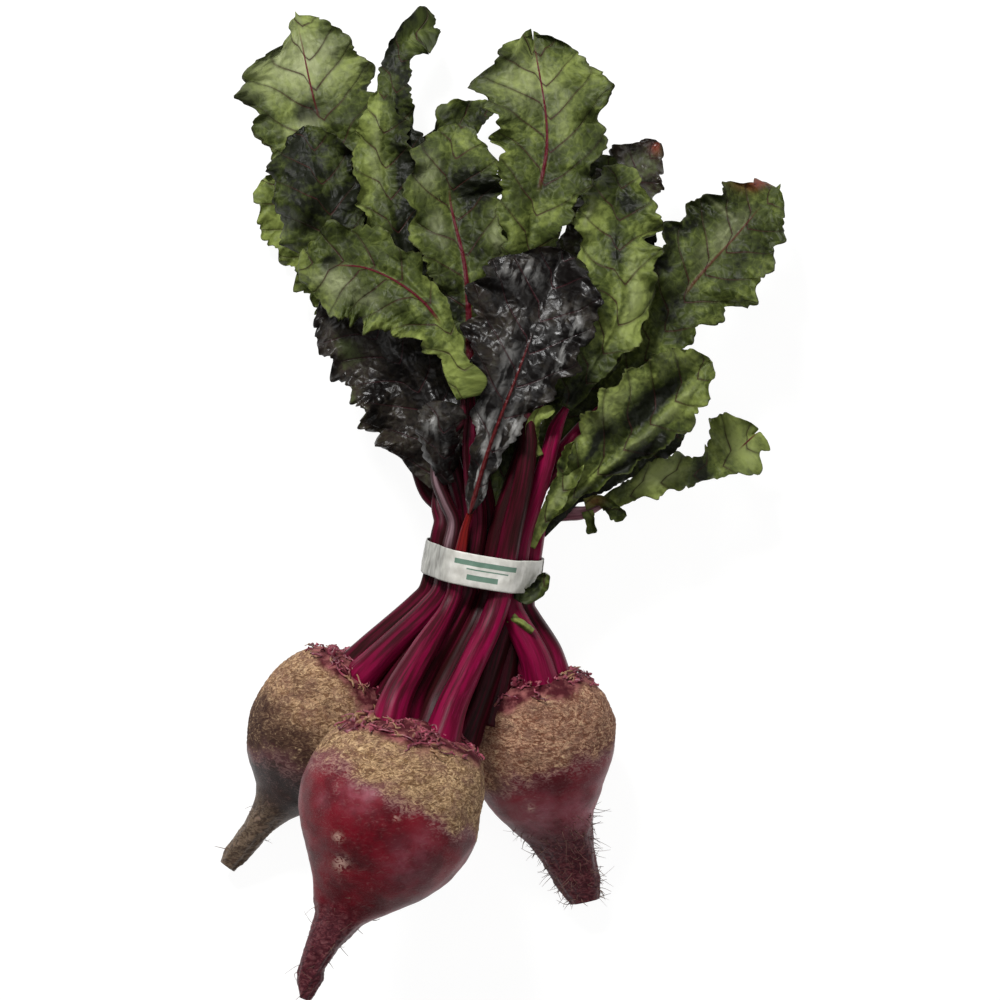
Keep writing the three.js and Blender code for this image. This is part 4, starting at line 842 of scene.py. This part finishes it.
def leaf_tissue(leaf, number, line, u, v, top, across, right, replaced):
    """A leaf's surface with its teeth, frills, puckers and veins, made a thin closed body"""
    def patches(key):
        """The leaf's own soft patches of one kind, summed over its grid"""
        return patched(leaf.get(key, []), u[:, None], v[None])

    seed = 5 * number + 3
    length = line[1][-1]
    s = np.repeat(u[:, None] * length, len(v), 1)
    reach = np.abs(np.repeat(v[None, :], len(u), 0))
    side = np.sign(across)
    grown = smoothstep(0.02, 0.2, s / length)

    # The margin: teeth all round, then the trims of its sides and of its tip
    width = np.abs(across[:, [0, -1]])
    room = np.minimum(1, np.where(v < 0, width[:, :1], width[:, 1:]) / ROOM_FOR_TEETH)
    margins = np.stack([toothed(s[:, 0], seed), toothed(s[:, 0] + 77, seed + 5)], -1)
    margin = np.where(v < 0, margins[:, :1], margins[:, 1:])
    outward = side * margin * reach ** 5 * grown * room
    for which, at_u, wide, amount in leaf.get("trims", []):
        if which:
            here = np.exp(-((u - at_u) / wide) ** 2)[:, None]
            outward += (v * which > 0) * side * amount * reach ** 1.5 * here
    top = top + right[:, None] * outward[..., None]
    near_tip = smoothstep(0.93, 1, u)[:, None]
    tip_way = read_line(line, np.array([length]))[1][0] * (1, 1, 0)
    tip = near_tip * margins.mean(1)[:, None] * (0.4 + 0.6 * np.abs(np.sin(9 * v)))
    for which, at_v, wide, amount in leaf.get("trims", []):
        if not which:
            tip += smoothstep(0.86, 1, u)[:, None] * amount * np.exp(-((v - at_v) / wide) ** 2)
    top = top + tip_way * tip[..., None]

    flat = np.stack([s, across, np.full_like(s, 31.0 * number)], -1)
    a = np.abs(across)
    offset = 0.25 * np.clip(across / 1.5, -1, 1)
    # vein counts the side veins from the foot. They lean forwards from the midrib, more so far out.
    vein = (s - 0.72 * a - 0.008 * a * a) / VEIN_SPACING + offset + 0.16 * noise_field(flat, 12, seed)
    f = vein % 1
    bulge = np.sin(math.pi * f) ** 0.8 * smoothstep(0.5, 5, a)
    pucker = 0.8 * np.abs(noise_field(flat, 4.6, seed + 1)) + 0.5 * np.abs(noise_field(flat, 2.6, seed + 2))
    blister = noise_field(flat, 9, seed + 9)
    frill_turn = s * 2 * math.pi / FRILL_SPACING + 4.5 * noise_field(flat, 19, seed + 3) + 1.4 * side
    frill = np.sin(frill_turn) * reach ** 2.2 + 0.7 * noise_field(flat, 17, seed + 7)
    small_turn = s * 2 * math.pi / SMALL_FRILL_SPACING + 4 * noise_field(flat, 7, seed + 4)
    small_frill = np.sin(small_turn) * reach ** 5
    wrinkle_turn = s * 2 * math.pi / WRINKLE_SPACING + 5 * noise_field(flat, 8, seed + 10)
    wrinkle = np.sin(wrinkle_turn) * smoothstep(0.35, 0.9, reach)

    # The midrib: a ridge that thins out towards the tip, red where the leaf says
    rib_width = 0.3 + 1.8 * leaf.get("slim", 1.0) ** 2 * (1 - u)[:, None] ** 2
    rib_shape = np.exp(-1.1 * (a / rib_width) ** 2)
    rib_from, rib_to, rib_red = (leaf.get("rib", (0, 0, 0)) + (1.0,))[:3]
    red = rib_red * smoothstep(rib_from - 0.05, rib_from + 0.03, u)
    red = red * smoothstep(rib_to + 0.06, rib_to - 0.06, u)
    red = red[:, None] + 0 * a
    ridge = (0.15 + 1.15 * (1 - u)[:, None] ** 1.2) * rib_shape * (0.4 + 0.6 * red)

    # The whole relief, in millimetres of height for each of its parts
    relief = 0.8 * bulge + 1.2 * pucker * smoothstep(0.3, 4, a) + 0.9 * blister + 2.6 * frill
    relief += 1.0 * small_frill + 0.35 * wrinkle
    top[..., 2] += grown * relief * room + ridge + patches("rises") - 0.5 * grown * smoothstep(0.5, 5, a)

    # The underside: the midrib and the veins stand out below, and nothing goes under the surface
    vein_line = np.exp(-((0.5 - np.abs(f - 0.5)) * VEIN_SPACING / 0.8) ** 2) * smoothstep(1, 0.5, reach)
    depth = TISSUE + (0.4 + 3.1 * (1 - u)[:, None] ** 1.3) * rib_shape + 0.4 * grown * vein_line
    under = top - np.array((0, 0, 1)) * depth[..., None]
    if under[..., 2].min() < 0:
        lift = np.maximum(0, 0.05 - under[..., 2])
        top[..., 2] += lift
        under[..., 2] += lift

    # The tone: partly the leaf's own, partly painted light and shade (lit folds, shaded hollows, shadow under
    # other leaves).
    tone = leaf["shade"] + 0.15 * noise_field(flat, 22, seed + 6) + patches("tones_and_shades")
    rust = np.clip(patches("rusts"), 0, 1)
    # The pale patches: the pale underside, and painted sheen and glints where the leaf catches the light.
    pale_and_sheen_top = np.clip(patches("pales_and_sheens"), 0, 1).ravel()
    fields = dict(shade=tone, red=red, rust=rust, vein=vein, reach=reach, rib=a / rib_width)
    layers = {key: np.concatenate([field.ravel()] * 2) for key, field in fields.items()}
    layers["on_leaf"] = np.vstack([flat.reshape(-1, 3)] * 2)
    layers["pale"] = np.concatenate([pale_and_sheen_top, np.full(pale_and_sheen_top.size, PALE_UNDERSIDE)])
    vertices, faces = sheet_body(top, under)
    material, slot = (purple_leaf, "purple_leaf") if leaf.get("purple") else (green_leaf, "green_leaf")
    build_piece(leaf["name"] + "_tissue", vertices, faces, material, replaced, layers)


for number, leaf in enumerate(LEAVES):
    blade_piece(leaf, number)


# Small leaves and scraps in the bunch: a folded piece of the dark leaf, young leaves between the
# stalks, and torn bits at the band's edges. They are the same thin tissue, on no stalk of their own.
# The three leaves that fill gaps behind the others, and the young leaf in the middle, are dark with
# painted shade.
SCRAPS = [
    dict(name="folded_dark_leaf", spine=[(-12, 30, 62), (-15, 39, 69), (-15.5, 48, 74.5), (-14, 60, 77)],
         left=[4, 9, 10, 9], right=[3, 7, 9, 11], purple=True, shade=0.1, cup=-4,
         pales_and_sheens=[(0.75, -0.3, 0.12, 0.35, 0.7), (0.4, 0.3, 0.1, 0.3, 0.4)]),
    dict(name="young_leaf_middle", spine=[(2, 10, 50), (7, 36, 48), (12, 70, 47)],
         left=[4, 16, 26], right=[4, 7, 8], shade=0.08, cup=1),
    dict(name="young_leaf_right", spine=[(17.5, 7, 52), (24, 20, 55), (31, 33, 58), (35, 46, 60)],
         left=[2, 4, 5, 5], right=[3, 5, 6, 6], shade=0.75, cup=2,
         tones_and_shades=[(0.3, 0.6, 0.1, 0.4, -0.7), (0.75, -0.6, 0.1, 0.4, -0.6)], pales_and_sheens=[(0.5, 0.2, 0.2, 0.3, 0.5)]),
    dict(name="curled_leaf_by_stalk", spine=[(20.5, 40, 63), (18, 47, 65), (20, 54, 67), (27, 58, 67)],
         left=[2, 3, 3, 3], right=[2.5, 3, 3, 2], shade=0.85, cup=2,
         tones_and_shades=[(0.5, 0.8, 0.3, 0.4, -0.8)]),
    dict(name="torn_leaf_below_band", spine=[(12, -10, 56), (17, -10.5, 56),
                                               (21.5, -7, 54), (24.5, -2.5, 51)],
         left=[2.5, 3, 3, 2], right=[4, 4.5, 3.5, 2], shade=0.12, cup=3,
         tones_and_shades=[(0.7, 0.5, 0.2, 0.5, 0.5)]),
    dict(name="dark_leaf_right", spine=[(22, 12, 44), (42, 30, 41), (60, 42, 38), (77, 52, 33)],
         left=[9, 12, 11, 7], right=[1.5, 7, 8, 5], shade=-0.05, cup=-1),
    dict(name="dark_leaf_behind", spine=[(26, 88, 38), (42, 108, 38), (63, 127, 36)],
         left=[10, 18, 10], right=[10, 14, 10], shade=0.2, cup=-1),
    dict(name="dark_leaf_top", spine=[(34, 112, 42), (41, 132, 40), (49, 152, 32)],
         left=[8, 10, 9], right=[8, 10, 9], shade=0.12, cup=1),
    dict(name="cut_leaf_stub", spine=[(10, -19, 54), (14, -21, 57), (19, -24.5, 57)],
         left=[1.5, 1.8, 1.8], right=[1.5, 1.8, 1.8], shade=0.9, cup=-2),
    dict(name="torn_leaf_on_side_stalk", spine=[(38, 22.5, 46), (44, 24, 46), (50, 20, 44), (53, 17.5, 42)],
         left=[2, 2, 2, 3], right=[2, 3, 5, 4], shade=0.6, cup=2,
         tones_and_shades=[(0.5, 0.8, 0.2, 0.4, -0.5)], rusts=[(0.2, 0, 0.2, 1, 0.5)]),
    dict(name="torn_leaf_hanging", spine=[(39, 20, 43), (40, 16, 40), (41, 11, 38)],
         left=[2, 2.2, 2.6], right=[2, 2.4, 3], shade=0.6, cup=2),
]


def scrap_piece(scrap, number):
    """One small leaf or scrap on its own spine, its sides higher or lower than it by its cup"""
    line = smooth_line(scrap["spine"])
    u = np.linspace(0, 1, int(line[1][-1] / 0.6))
    v = np.linspace(-1, 1, 25)
    top, across, right = blade_plan(scrap, line, u, v, 3)
    top[..., 2] += scrap["cup"] * v ** 2 * smoothstep(0, 0.4, u)[:, None]
    leaf_tissue(scrap, number, line, u, v, top, across, right, [])


for number, scrap in enumerate(SCRAPS):
    scrap_piece(scrap, number + len(LEAVES))


# The stalks: fleshy ribbed petioles, dark magenta and shiny, with a shallow groove on top. Each
# grows out of its crown, passes through the band and runs on under the blade as its midrib.
def petiole_skin():
    """Petiole skin: taut, moist and shiny, magenta, with fine lengthwise streaks, and painted light
    and shade: lit and shaded copies of its colours
    """
    material, tree = new_material("petiole_skin_magenta")
    grain = add_node(tree, "Attribute", out="Vector", attribute_name="grain")
    lit, pale, red = (
        add_node(tree, "Attribute", out="Fac", attribute_name=key) for key in ("lit", "pale", "red"))

    # grain counts millimetres round the stalk and is drawn out along it, so that streaks run that way
    streaks = add_node(tree, "TexNoise", Vector=grain, Scale=0.8, Detail=4.0)
    streaky = add_node(tree, "MapRange", interpolation_type="SMOOTHSTEP", Value=streaks,
                       From_Min=0.36, From_Max=0.64)
    threads = add_node(tree, "TexNoise", Vector=grain, Scale=2.4, Detail=4.0)
    thready = add_node(tree, "MapRange", interpolation_type="SMOOTHSTEP", Value=threads,
                       From_Min=0.54, From_Max=0.72)
    # Painted light and shade: the lit value picks between a shaded and a lit copy of the magenta, and the
    # bright threads show only where it is lit.
    lit_amount = add_node(tree, "Math", operation="MULTIPLY_ADD", in_0=streaky, in_1=0.3, in_2=lit)
    lit_amount = add_node(tree, "MapRange", interpolation_type="SMOOTHSTEP", Value=lit_amount,
                         From_Min=0.15, From_Max=1.1)
    shaded = add_node(tree, "Mix", data_type="RGBA", Factor=streaky, A="#240c0c", B="#360a14")
    lit_colour = add_node(tree, "Mix", data_type="RGBA", Factor=streaky, A="#580824", B="#760834")
    colour = add_node(tree, "Mix", data_type="RGBA", Factor=lit_amount, A=shaded, B=lit_colour)
    bright_thread = add_node(tree, "Math", operation="MULTIPLY", in_0=thready, in_1=lit_amount)
    bright_thread = add_node(tree, "Math", operation="MULTIPLY", in_0=bright_thread, in_1=0.3)
    colour = add_node(tree, "Mix", data_type="RGBA", Factor=bright_thread, A=colour, B="#9c1c58")
    ruddy = add_node(tree, "Mix", data_type="RGBA", Factor=streaky, A="#480c0c", B="#701410")
    colour = add_node(tree, "Mix", data_type="RGBA", Factor=red, A=colour, B=ruddy)
    rosy = add_node(tree, "Mix", data_type="RGBA", Factor=streaky, A="#74545a", B="#b89ca4")
    colour = add_node(tree, "Mix", data_type="RGBA", Factor=pale, A=colour, B=rosy)
    relief = add_node(tree, "Bump", Strength=0.3, Distance=0.3 * MM, Height=threads)
    shader = add_node(tree, "BsdfPrincipled", IOR=1.4, Roughness=0.4, Specular_IOR_Level=0.12,
                      Base_Color=colour, Normal=relief)
    add_node(tree, "OutputMaterial", Surface=shader)
    return material


petiole = petiole_skin()
STALK_RINGS = 90
STALK_SIDES = 26
# A stalk starts this far inside its crown, thicker there by this share, which fades over a length.
# Past its packed end it runs on as the midrib, or a little way hidden under the blade.
STALK_ROOTED = 3.5
FLARE = 0.45
FLARE_LENGTH = 16
MIDRIB_RUN = 40
HIDDEN_RUN = 4
ROUND_STALK = 4
GRAIN_DRAWN_OUT = 18
# Only a ring's top and bottom corner are one over the other and further apart than this
LEAST_RING_HEIGHT = 5.05


def stalk_course(node):
    """The middles and radii of a packed stalk's rings, in order from the crown. A ring's top and
    bottom corners are one over the other and furthest apart of its upright pairs."""
    pairs = {}
    for x, y, z in cad_points(node):
        pairs.setdefault((round(x, 1), round(y, 1)), []).append((x, y, z))
    rings = []
    for corners in pairs.values():
        corners = np.array(corners)
        low, high = corners[:, 2].min(), corners[:, 2].max()
        if high - low > LEAST_RING_HEIGHT:
            rings.append((corners[0, 0], corners[0, 1], (low + high) / 2, (high - low) / 2))
    rings = np.array(rings)
    order = [int(np.argmin(rings[:, 1]))]
    while len(order) < len(rings):
        rest = [i for i in range(len(rings)) if i not in order]
        away = [np.linalg.norm(rings[i, :3] - rings[order[-1], :3]) for i in rest]
        order.append(rest[int(np.argmin(away))])
    return rings[order]


def stalk_piece(name, number, rings, beyond, runs_on, lit_by, slim, replaced):
    """One stalk: a ribbed tube on its course, flared where it grows from the crown. It sinks under
    the blade's foot, or runs on over the blade as the raised midrib."""
    ring_lengths = np.concatenate([[0], np.cumsum(np.linalg.norm(np.diff(rings[:, :3], axis=0), axis=1))])
    line = smooth_line(np.vstack([rings[:, :3], beyond]))
    reach = ring_lengths[-1]
    end = reach + (MIDRIB_RUN if runs_on else HIDDEN_RUN)
    distance = np.linspace(-STALK_ROOTED, end, STALK_RINGS)
    middles, way = read_line(line, distance)
    right = level_right(way)
    radius = np.interp(distance, ring_lengths, rings[:, 3])
    radius *= 1 + FLARE * np.exp(-np.maximum(distance, 0) / FLARE_LENGTH)
    radius *= 1 + (slim - 1) * smoothstep(0.35 * reach, 0.6 * reach, distance)
    if runs_on:
        radius *= 1 - 0.55 * smoothstep(reach - 22, reach + 4, distance)
        radius *= 1 - 0.7 * smoothstep(reach, end, distance)
        sunk = 0.5 * radius * smoothstep(reach - 4, reach + 8, distance)
    else:
        radius *= 1 - 0.6 * smoothstep(reach - 10, end, distance)
        sunk = 1.9 * radius * smoothstep(reach - 16, end, distance)
    middles[:, 2] -= sunk
    angle = np.arange(STALK_SIDES) / STALK_SIDES * 2 * math.pi
    d, a = np.meshgrid(distance, angle, indexing="ij")
    along = np.stack([np.cos(a) * 0.8, np.sin(a) * 0.8, d / 30], -1)
    ribs = 0.035 * np.cos(7 * a + 1.3 * number) + 0.05 * noise_field(along * 1.4, 1, number)
    groove = -0.12 * np.exp(-((a - math.pi / 2) / 0.42) ** 2) * smoothstep(8, 40, d)
    r = radius[:, None] * (1 + ribs + groove)
    up = np.array((0, 0, 1))
    spread = right[:, None] * np.cos(a)[..., None] + up * np.sin(a)[..., None]
    tube = middles[:, None] + spread * r[..., None]
    vertices, faces = closed_tube(tube)
    grain = [np.cos(a) * ROUND_STALK, np.sin(a) * ROUND_STALK, d / GRAIN_DRAWN_OUT + number * 9]
    grain = np.stack(grain, -1).reshape(-1, 3)
    grain = np.vstack([grain, grain[0], grain[-1]])
    y = tube[..., 1]
    # The lit value is painted light and shade: how bright the stalk looks below and above the band, lighter
    # near the crown, with random change.
    lit_low, lit_high = lit_by
    lit = lit_low + (lit_high - lit_low) * smoothstep(-4, 8, y)
    lit = lit + 0.2 * noise_field(along, 1, number + 9) + 0.3 * smoothstep(14, 0, d) * (lit_low > 0.2)
    pale = 0 * d
    red = 0 * d
    # Three stalks look unlike the others: the first has a rosy grey line along its top, a painted
    # highlight, and another under it, the second turns rosy grey past the band, and the third is rusty
    # red with thin pale streaks
    if name == "leaf_18":
        pale = 0.7 * smoothstep(2, 12, y) * smoothstep(60, 45, y) * np.exp(-(np.cos(a - 0.4) / 0.36) ** 2)
    if name == "leaf_07":
        pale = 0.5 * smoothstep(10, 22, y)
    if name == "leaf_17":
        red = smoothstep(-6, 10, y) * (0.8 + 0.2 * np.cos(a - 1.2)) * (1 - 0.45 * smoothstep(25, 60, y))
        streak = np.maximum(0, np.cos(3 * a + d / 20)) ** 4
        pale = 0.5 * smoothstep(20, 30, y) * smoothstep(60, 45, y) * streak
    layers = {"grain": grain, **tube_fields(lit=np.clip(lit, 0, 1), pale=pale, red=red)}
    build_piece(name + "_petiole", vertices, faces, petiole, replaced, layers)


for number, leaf in enumerate(LEAVES):
    midrib = leaf.get("rib", (1,))[0] < 0.1
    beyond = leaf["top_line"][10:58:8] if midrib else leaf["top_line"][6:8]
    low = leaf["stalk"]
    stalk_piece(leaf["name"], number, stalk_course(leaf["name"] + "_stalk"), beyond, midrib,
                (low, leaf.get("stalk_above", low)), leaf.get("slim", 1.0), [leaf["name"] + "_stalk"])


# Inner stalks: old petioles whose leaves are gone, seen dark between the living ones below and
# above the band, their low lit value painted shade. They are the same fleshy tubes, on crowns of
# their own roots.
INNER_STALKS = [
    ("inner_stalk_front_right", 4.3, [(-6, -63, 50), (3, -38, 50), (10, -12, 48), (12, 14, 44)], 0.1),
    ("inner_stalk_right", 4.0, [(4, -56, 46), (9, -35, 46), (14, -10, 44), (15, 10, 42)], 0.05),
    ("inner_stalk_front_left", 4.6, [(-27, -56, 56), (-19, -33, 52), (-10, -9, 48), (-5, 12, 44)], 0.15),
    ("inner_stalk_left", 4.6, [(-35, -50, 44), (-25, -31, 46), (-14, -7, 45), (-9, 12, 43)], 0.1),
    ("inner_stalk_middle", 4.6, [(-14, -52, 50), (-9, -30, 48), (-3, -8, 46), (1, 20, 44)], 0.1),
]
for number, (name, radius, course, tone) in enumerate(INNER_STALKS):
    rings = np.array([(x, y, z, radius) for x, y, z in course])
    ahead = rings[-1, :3] + (rings[-1, :3] - rings[-2, :3]) * np.array([[0.1], [0.3]])
    stalk_piece(name, number + len(LEAVES), rings, ahead, False, (tone, tone), 1.0, [])


# The band: a flat strip of white polypropylene film with generic plain green bars, wrapped tight
# round the stalks, its two ends lapped and welded on the right.
BAND_WIDTH = 12.2
BAND_RADIUS = 21.75
BAND_TURN = math.radians(10)
BAND_RISE = math.radians(6.5)
FILM = 0.3
LAP_FROM = math.radians(-24)
LAP_TURN = math.radians(386)
# The film's mean radius, for the creases and the print that are drawn round it
ROUND_FILM = 22
# Each bar's middle round the band, half its length, its row across the band and its thickness
PRINTED_BARS = [(1.5, 12, 2.6, 1.9), (2.5, 8, 0.4, 0.5), (1, 6, -2.6, 2.0)]

band_along = np.array([
    math.sin(BAND_TURN) * math.cos(BAND_RISE),
    math.cos(BAND_TURN) * math.cos(BAND_RISE),
    math.sin(BAND_RISE),
])
band_across = np.array([math.cos(BAND_TURN), -math.sin(BAND_TURN), 0])
band_up = np.cross(band_across, band_along)


def printed_film():
    """White polypropylene film: slightly grey, soft shine, with small green printed bars"""
    material, tree = new_material("printed_polypropylene_film")
    flat = add_node(tree, "Attribute", out="Vector", attribute_name="on_film")
    round_film = add_node(tree, "SeparateXYZ", out="X", Vector=flat)
    along_film = add_node(tree, "SeparateXYZ", out="Y", Vector=flat)
    smudges = add_node(tree, "TexNoise", Vector=flat, Scale=1 / 5, Detail=4.0)
    pleated = add_node(tree, "Mapping", Vector=flat, Scale=(1 / 1.6, 1 / 9, 1))
    creases = add_node(tree, "TexNoise", Vector=pleated, Scale=1.0, Detail=4.0, Distortion=0.6)
    mottled = add_node(tree, "MapRange", Value=smudges, From_Min=0.3, From_Max=0.7)
    colour = add_node(tree, "Mix", data_type="RGBA", Factor=mottled, A="#b5b3aa", B="#dcdad3")
    clear = add_node(tree, "MapRange", interpolation_type="SMOOTHSTEP", Value=round_film,
                     From_Min=-19.0, From_Max=-8.0, To_Min=0.85, To_Max=0.0)
    # Painted light and shade: on the clear end, lighter and darker streaks follow the creases, for their
    # reflections and shade.
    crease_shading = add_node(tree, "MapRange", Value=creases, From_Min=0.35, From_Max=0.65)
    seen_through = add_node(tree, "Mix", data_type="RGBA", Factor=crease_shading, A="#5e5d58", B="#a3a39c")
    colour = add_node(tree, "Mix", data_type="RGBA", Factor=clear, A=colour, B=seen_through)
    for middle, half, row, thick in PRINTED_BARS:
        away = add_node(tree, "Math", operation="SUBTRACT", in_0=round_film, in_1=middle)
        away = add_node(tree, "Math", operation="ABSOLUTE", in_0=away)
        inside = add_node(tree, "Math", operation="LESS_THAN", in_0=away, in_1=half)
        off_row = add_node(tree, "Math", operation="SUBTRACT", in_0=along_film, in_1=row)
        off_row = add_node(tree, "Math", operation="ABSOLUTE", in_0=off_row)
        on_row = add_node(tree, "Math", operation="LESS_THAN", in_0=off_row, in_1=thick / 2)
        ink = add_node(tree, "Math", operation="MULTIPLY", in_0=inside, in_1=on_row)
        ink = add_node(tree, "Math", operation="MULTIPLY", in_0=ink, in_1=0.85)
        colour = add_node(tree, "Mix", data_type="RGBA", Factor=ink, A=colour, B="#2f6650")
    relief = add_node(tree, "Bump", Strength=0.5, Distance=0.4 * MM, Height=creases)
    shader = add_node(tree, "BsdfPrincipled", IOR=1.49, Roughness=0.38, Base_Color=colour, Normal=relief)
    add_node(tree, "OutputMaterial", Surface=shader)
    return material


def band_piece():
    """The strip: bent over the stalks it holds, a little creased, with one end over the other"""
    turns = np.linspace(LAP_FROM, LAP_FROM + LAP_TURN, 360)
    along = np.linspace(-BAND_WIDTH / 2, BAND_WIDTH / 2, 26)
    a, w = np.meshgrid(turns, along, indexing="ij")
    spot = np.stack([np.cos(a) * ROUND_FILM, np.sin(a) * ROUND_FILM, w], -1)
    creases = np.abs(noise_field(spot * (1, 1, 0.35), 5, 71)) * 0.5 + 0.22 * noise_field(spot, 2.6, 72)
    corners = 0.45 * np.cos(6 * a)
    lifted = smoothstep(LAP_FROM + LAP_TURN - 0.55, LAP_FROM + LAP_TURN - 0.3, a) * 0.38
    curl = 0.25 * (np.abs(w) / (BAND_WIDTH / 2)) ** 6
    outer = BAND_RADIUS + FILM + corners + creases * 0.8 + lifted - curl - 0.45
    skew = 0.35 * noise_field(np.stack([a * 2, 0 * a, 0 * a], -1), 1, 73)

    def shell(radius):
        spread = band_across * np.cos(a)[..., None] + band_up * np.sin(a)[..., None]
        return np.array((0, 0, BAND_HEIGHT)) + spread * radius[..., None] + band_along * (w + skew)[..., None]

    vertices, faces = sheet_body(shell(outer), shell(outer - FILM))
    on_film = np.stack([(math.pi / 2 - a) * ROUND_FILM, w, 0 * a], -1).reshape(-1, 3)
    build_piece("band_film", vertices, faces, printed_film(), ["band"],
                {"on_film": np.vstack([on_film, on_film])})


band_piece()


# The studio: a plain pale floor under the bunch, a wide soft lamp high on the left, a weak one on
# the right, and a camera straight above, because the bunch shown upright is laid down.
def pale_floor():
    """Opal acrylic of a light table: matt and pale, lit from behind so that it stays white"""
    material, tree = new_material("opal_acrylic_light_table")
    place = add_node(tree, "TexCoord", out="Object")
    grain = add_node(tree, "TexNoise", Vector=place, Scale=40.0)
    tone = add_node(tree, "Mix", data_type="RGBA", Factor=grain, A="#5c5c5b", B="#636362")
    shader = add_node(tree, "BsdfPrincipled", Roughness=0.95, Base_Color=tone,
                      Emission_Color="#ffffff", Emission_Strength=0.94)
    add_node(tree, "OutputMaterial", Surface=shader)
    return material


floor_mesh = bpy.data.meshes.new("floor")
FLOOR_REACH = 3.0
FLOOR_DROP = 0.0003
floor_corners = [
    (x * FLOOR_REACH, y * FLOOR_REACH, -FLOOR_DROP) for x, y in ((-1, -1), (1, -1), (1, 1), (-1, 1))]
floor_mesh.from_pydata(floor_corners, [], [(0, 1, 2, 3)])
floor_mesh.materials.append(pale_floor())
floor = bpy.data.objects.new("floor", floor_mesh)
bpy.context.scene.collection.objects.link(floor)


def lamp(name, place, target, size, power):
    """A square soft lamp at a place, turned to a target"""
    data = bpy.data.lights.new(name, "AREA")
    data.shape = "SQUARE"
    data.size = size
    data.energy = power
    made = bpy.data.objects.new(name, data)
    made.location = place
    made.rotation_euler = (Vector(target) - Vector(place)).to_track_quat("-Z", "Y").to_euler()
    bpy.context.scene.collection.objects.link(made)


lamp("key_lamp", (-0.45, 1.15, 1.25), (0, 0, 0.03), 0.4, 36)
lamp("fill_lamp", (1.1, -0.6, 1.2), (0, 0, 0.03), 1.0, 5)
lamp("top_lamp", (0, 0.2, 2.6), (0, 0, 0), 1.2, 8)

world = bpy.data.worlds.new("studio")
world.use_nodes = True
world.node_tree.nodes["Background"].inputs["Color"].default_value = (1, 1, 1, 1)
world.node_tree.nodes["Background"].inputs["Strength"].default_value = 0.12
bpy.context.scene.world = world
bpy.context.scene.view_settings.view_transform = "Standard"

# At the band's height the picture is 370 mm wide, so that a pixel is 0.37 mm
CAMERA_OVER = (6.66, 24.05, 2200)
FILM_WIDTH = 36
FOCAL_LENGTH = 209.7
camera_data = bpy.data.cameras.new("camera")
camera_data.sensor_width = FILM_WIDTH
camera_data.lens = FOCAL_LENGTH
camera_data.clip_end = 10
camera = bpy.data.objects.new("camera", camera_data)
camera.location = np.array(CAMERA_OVER) * MM + origin
bpy.context.scene.collection.objects.link(camera)
bpy.context.scene.camera = camera
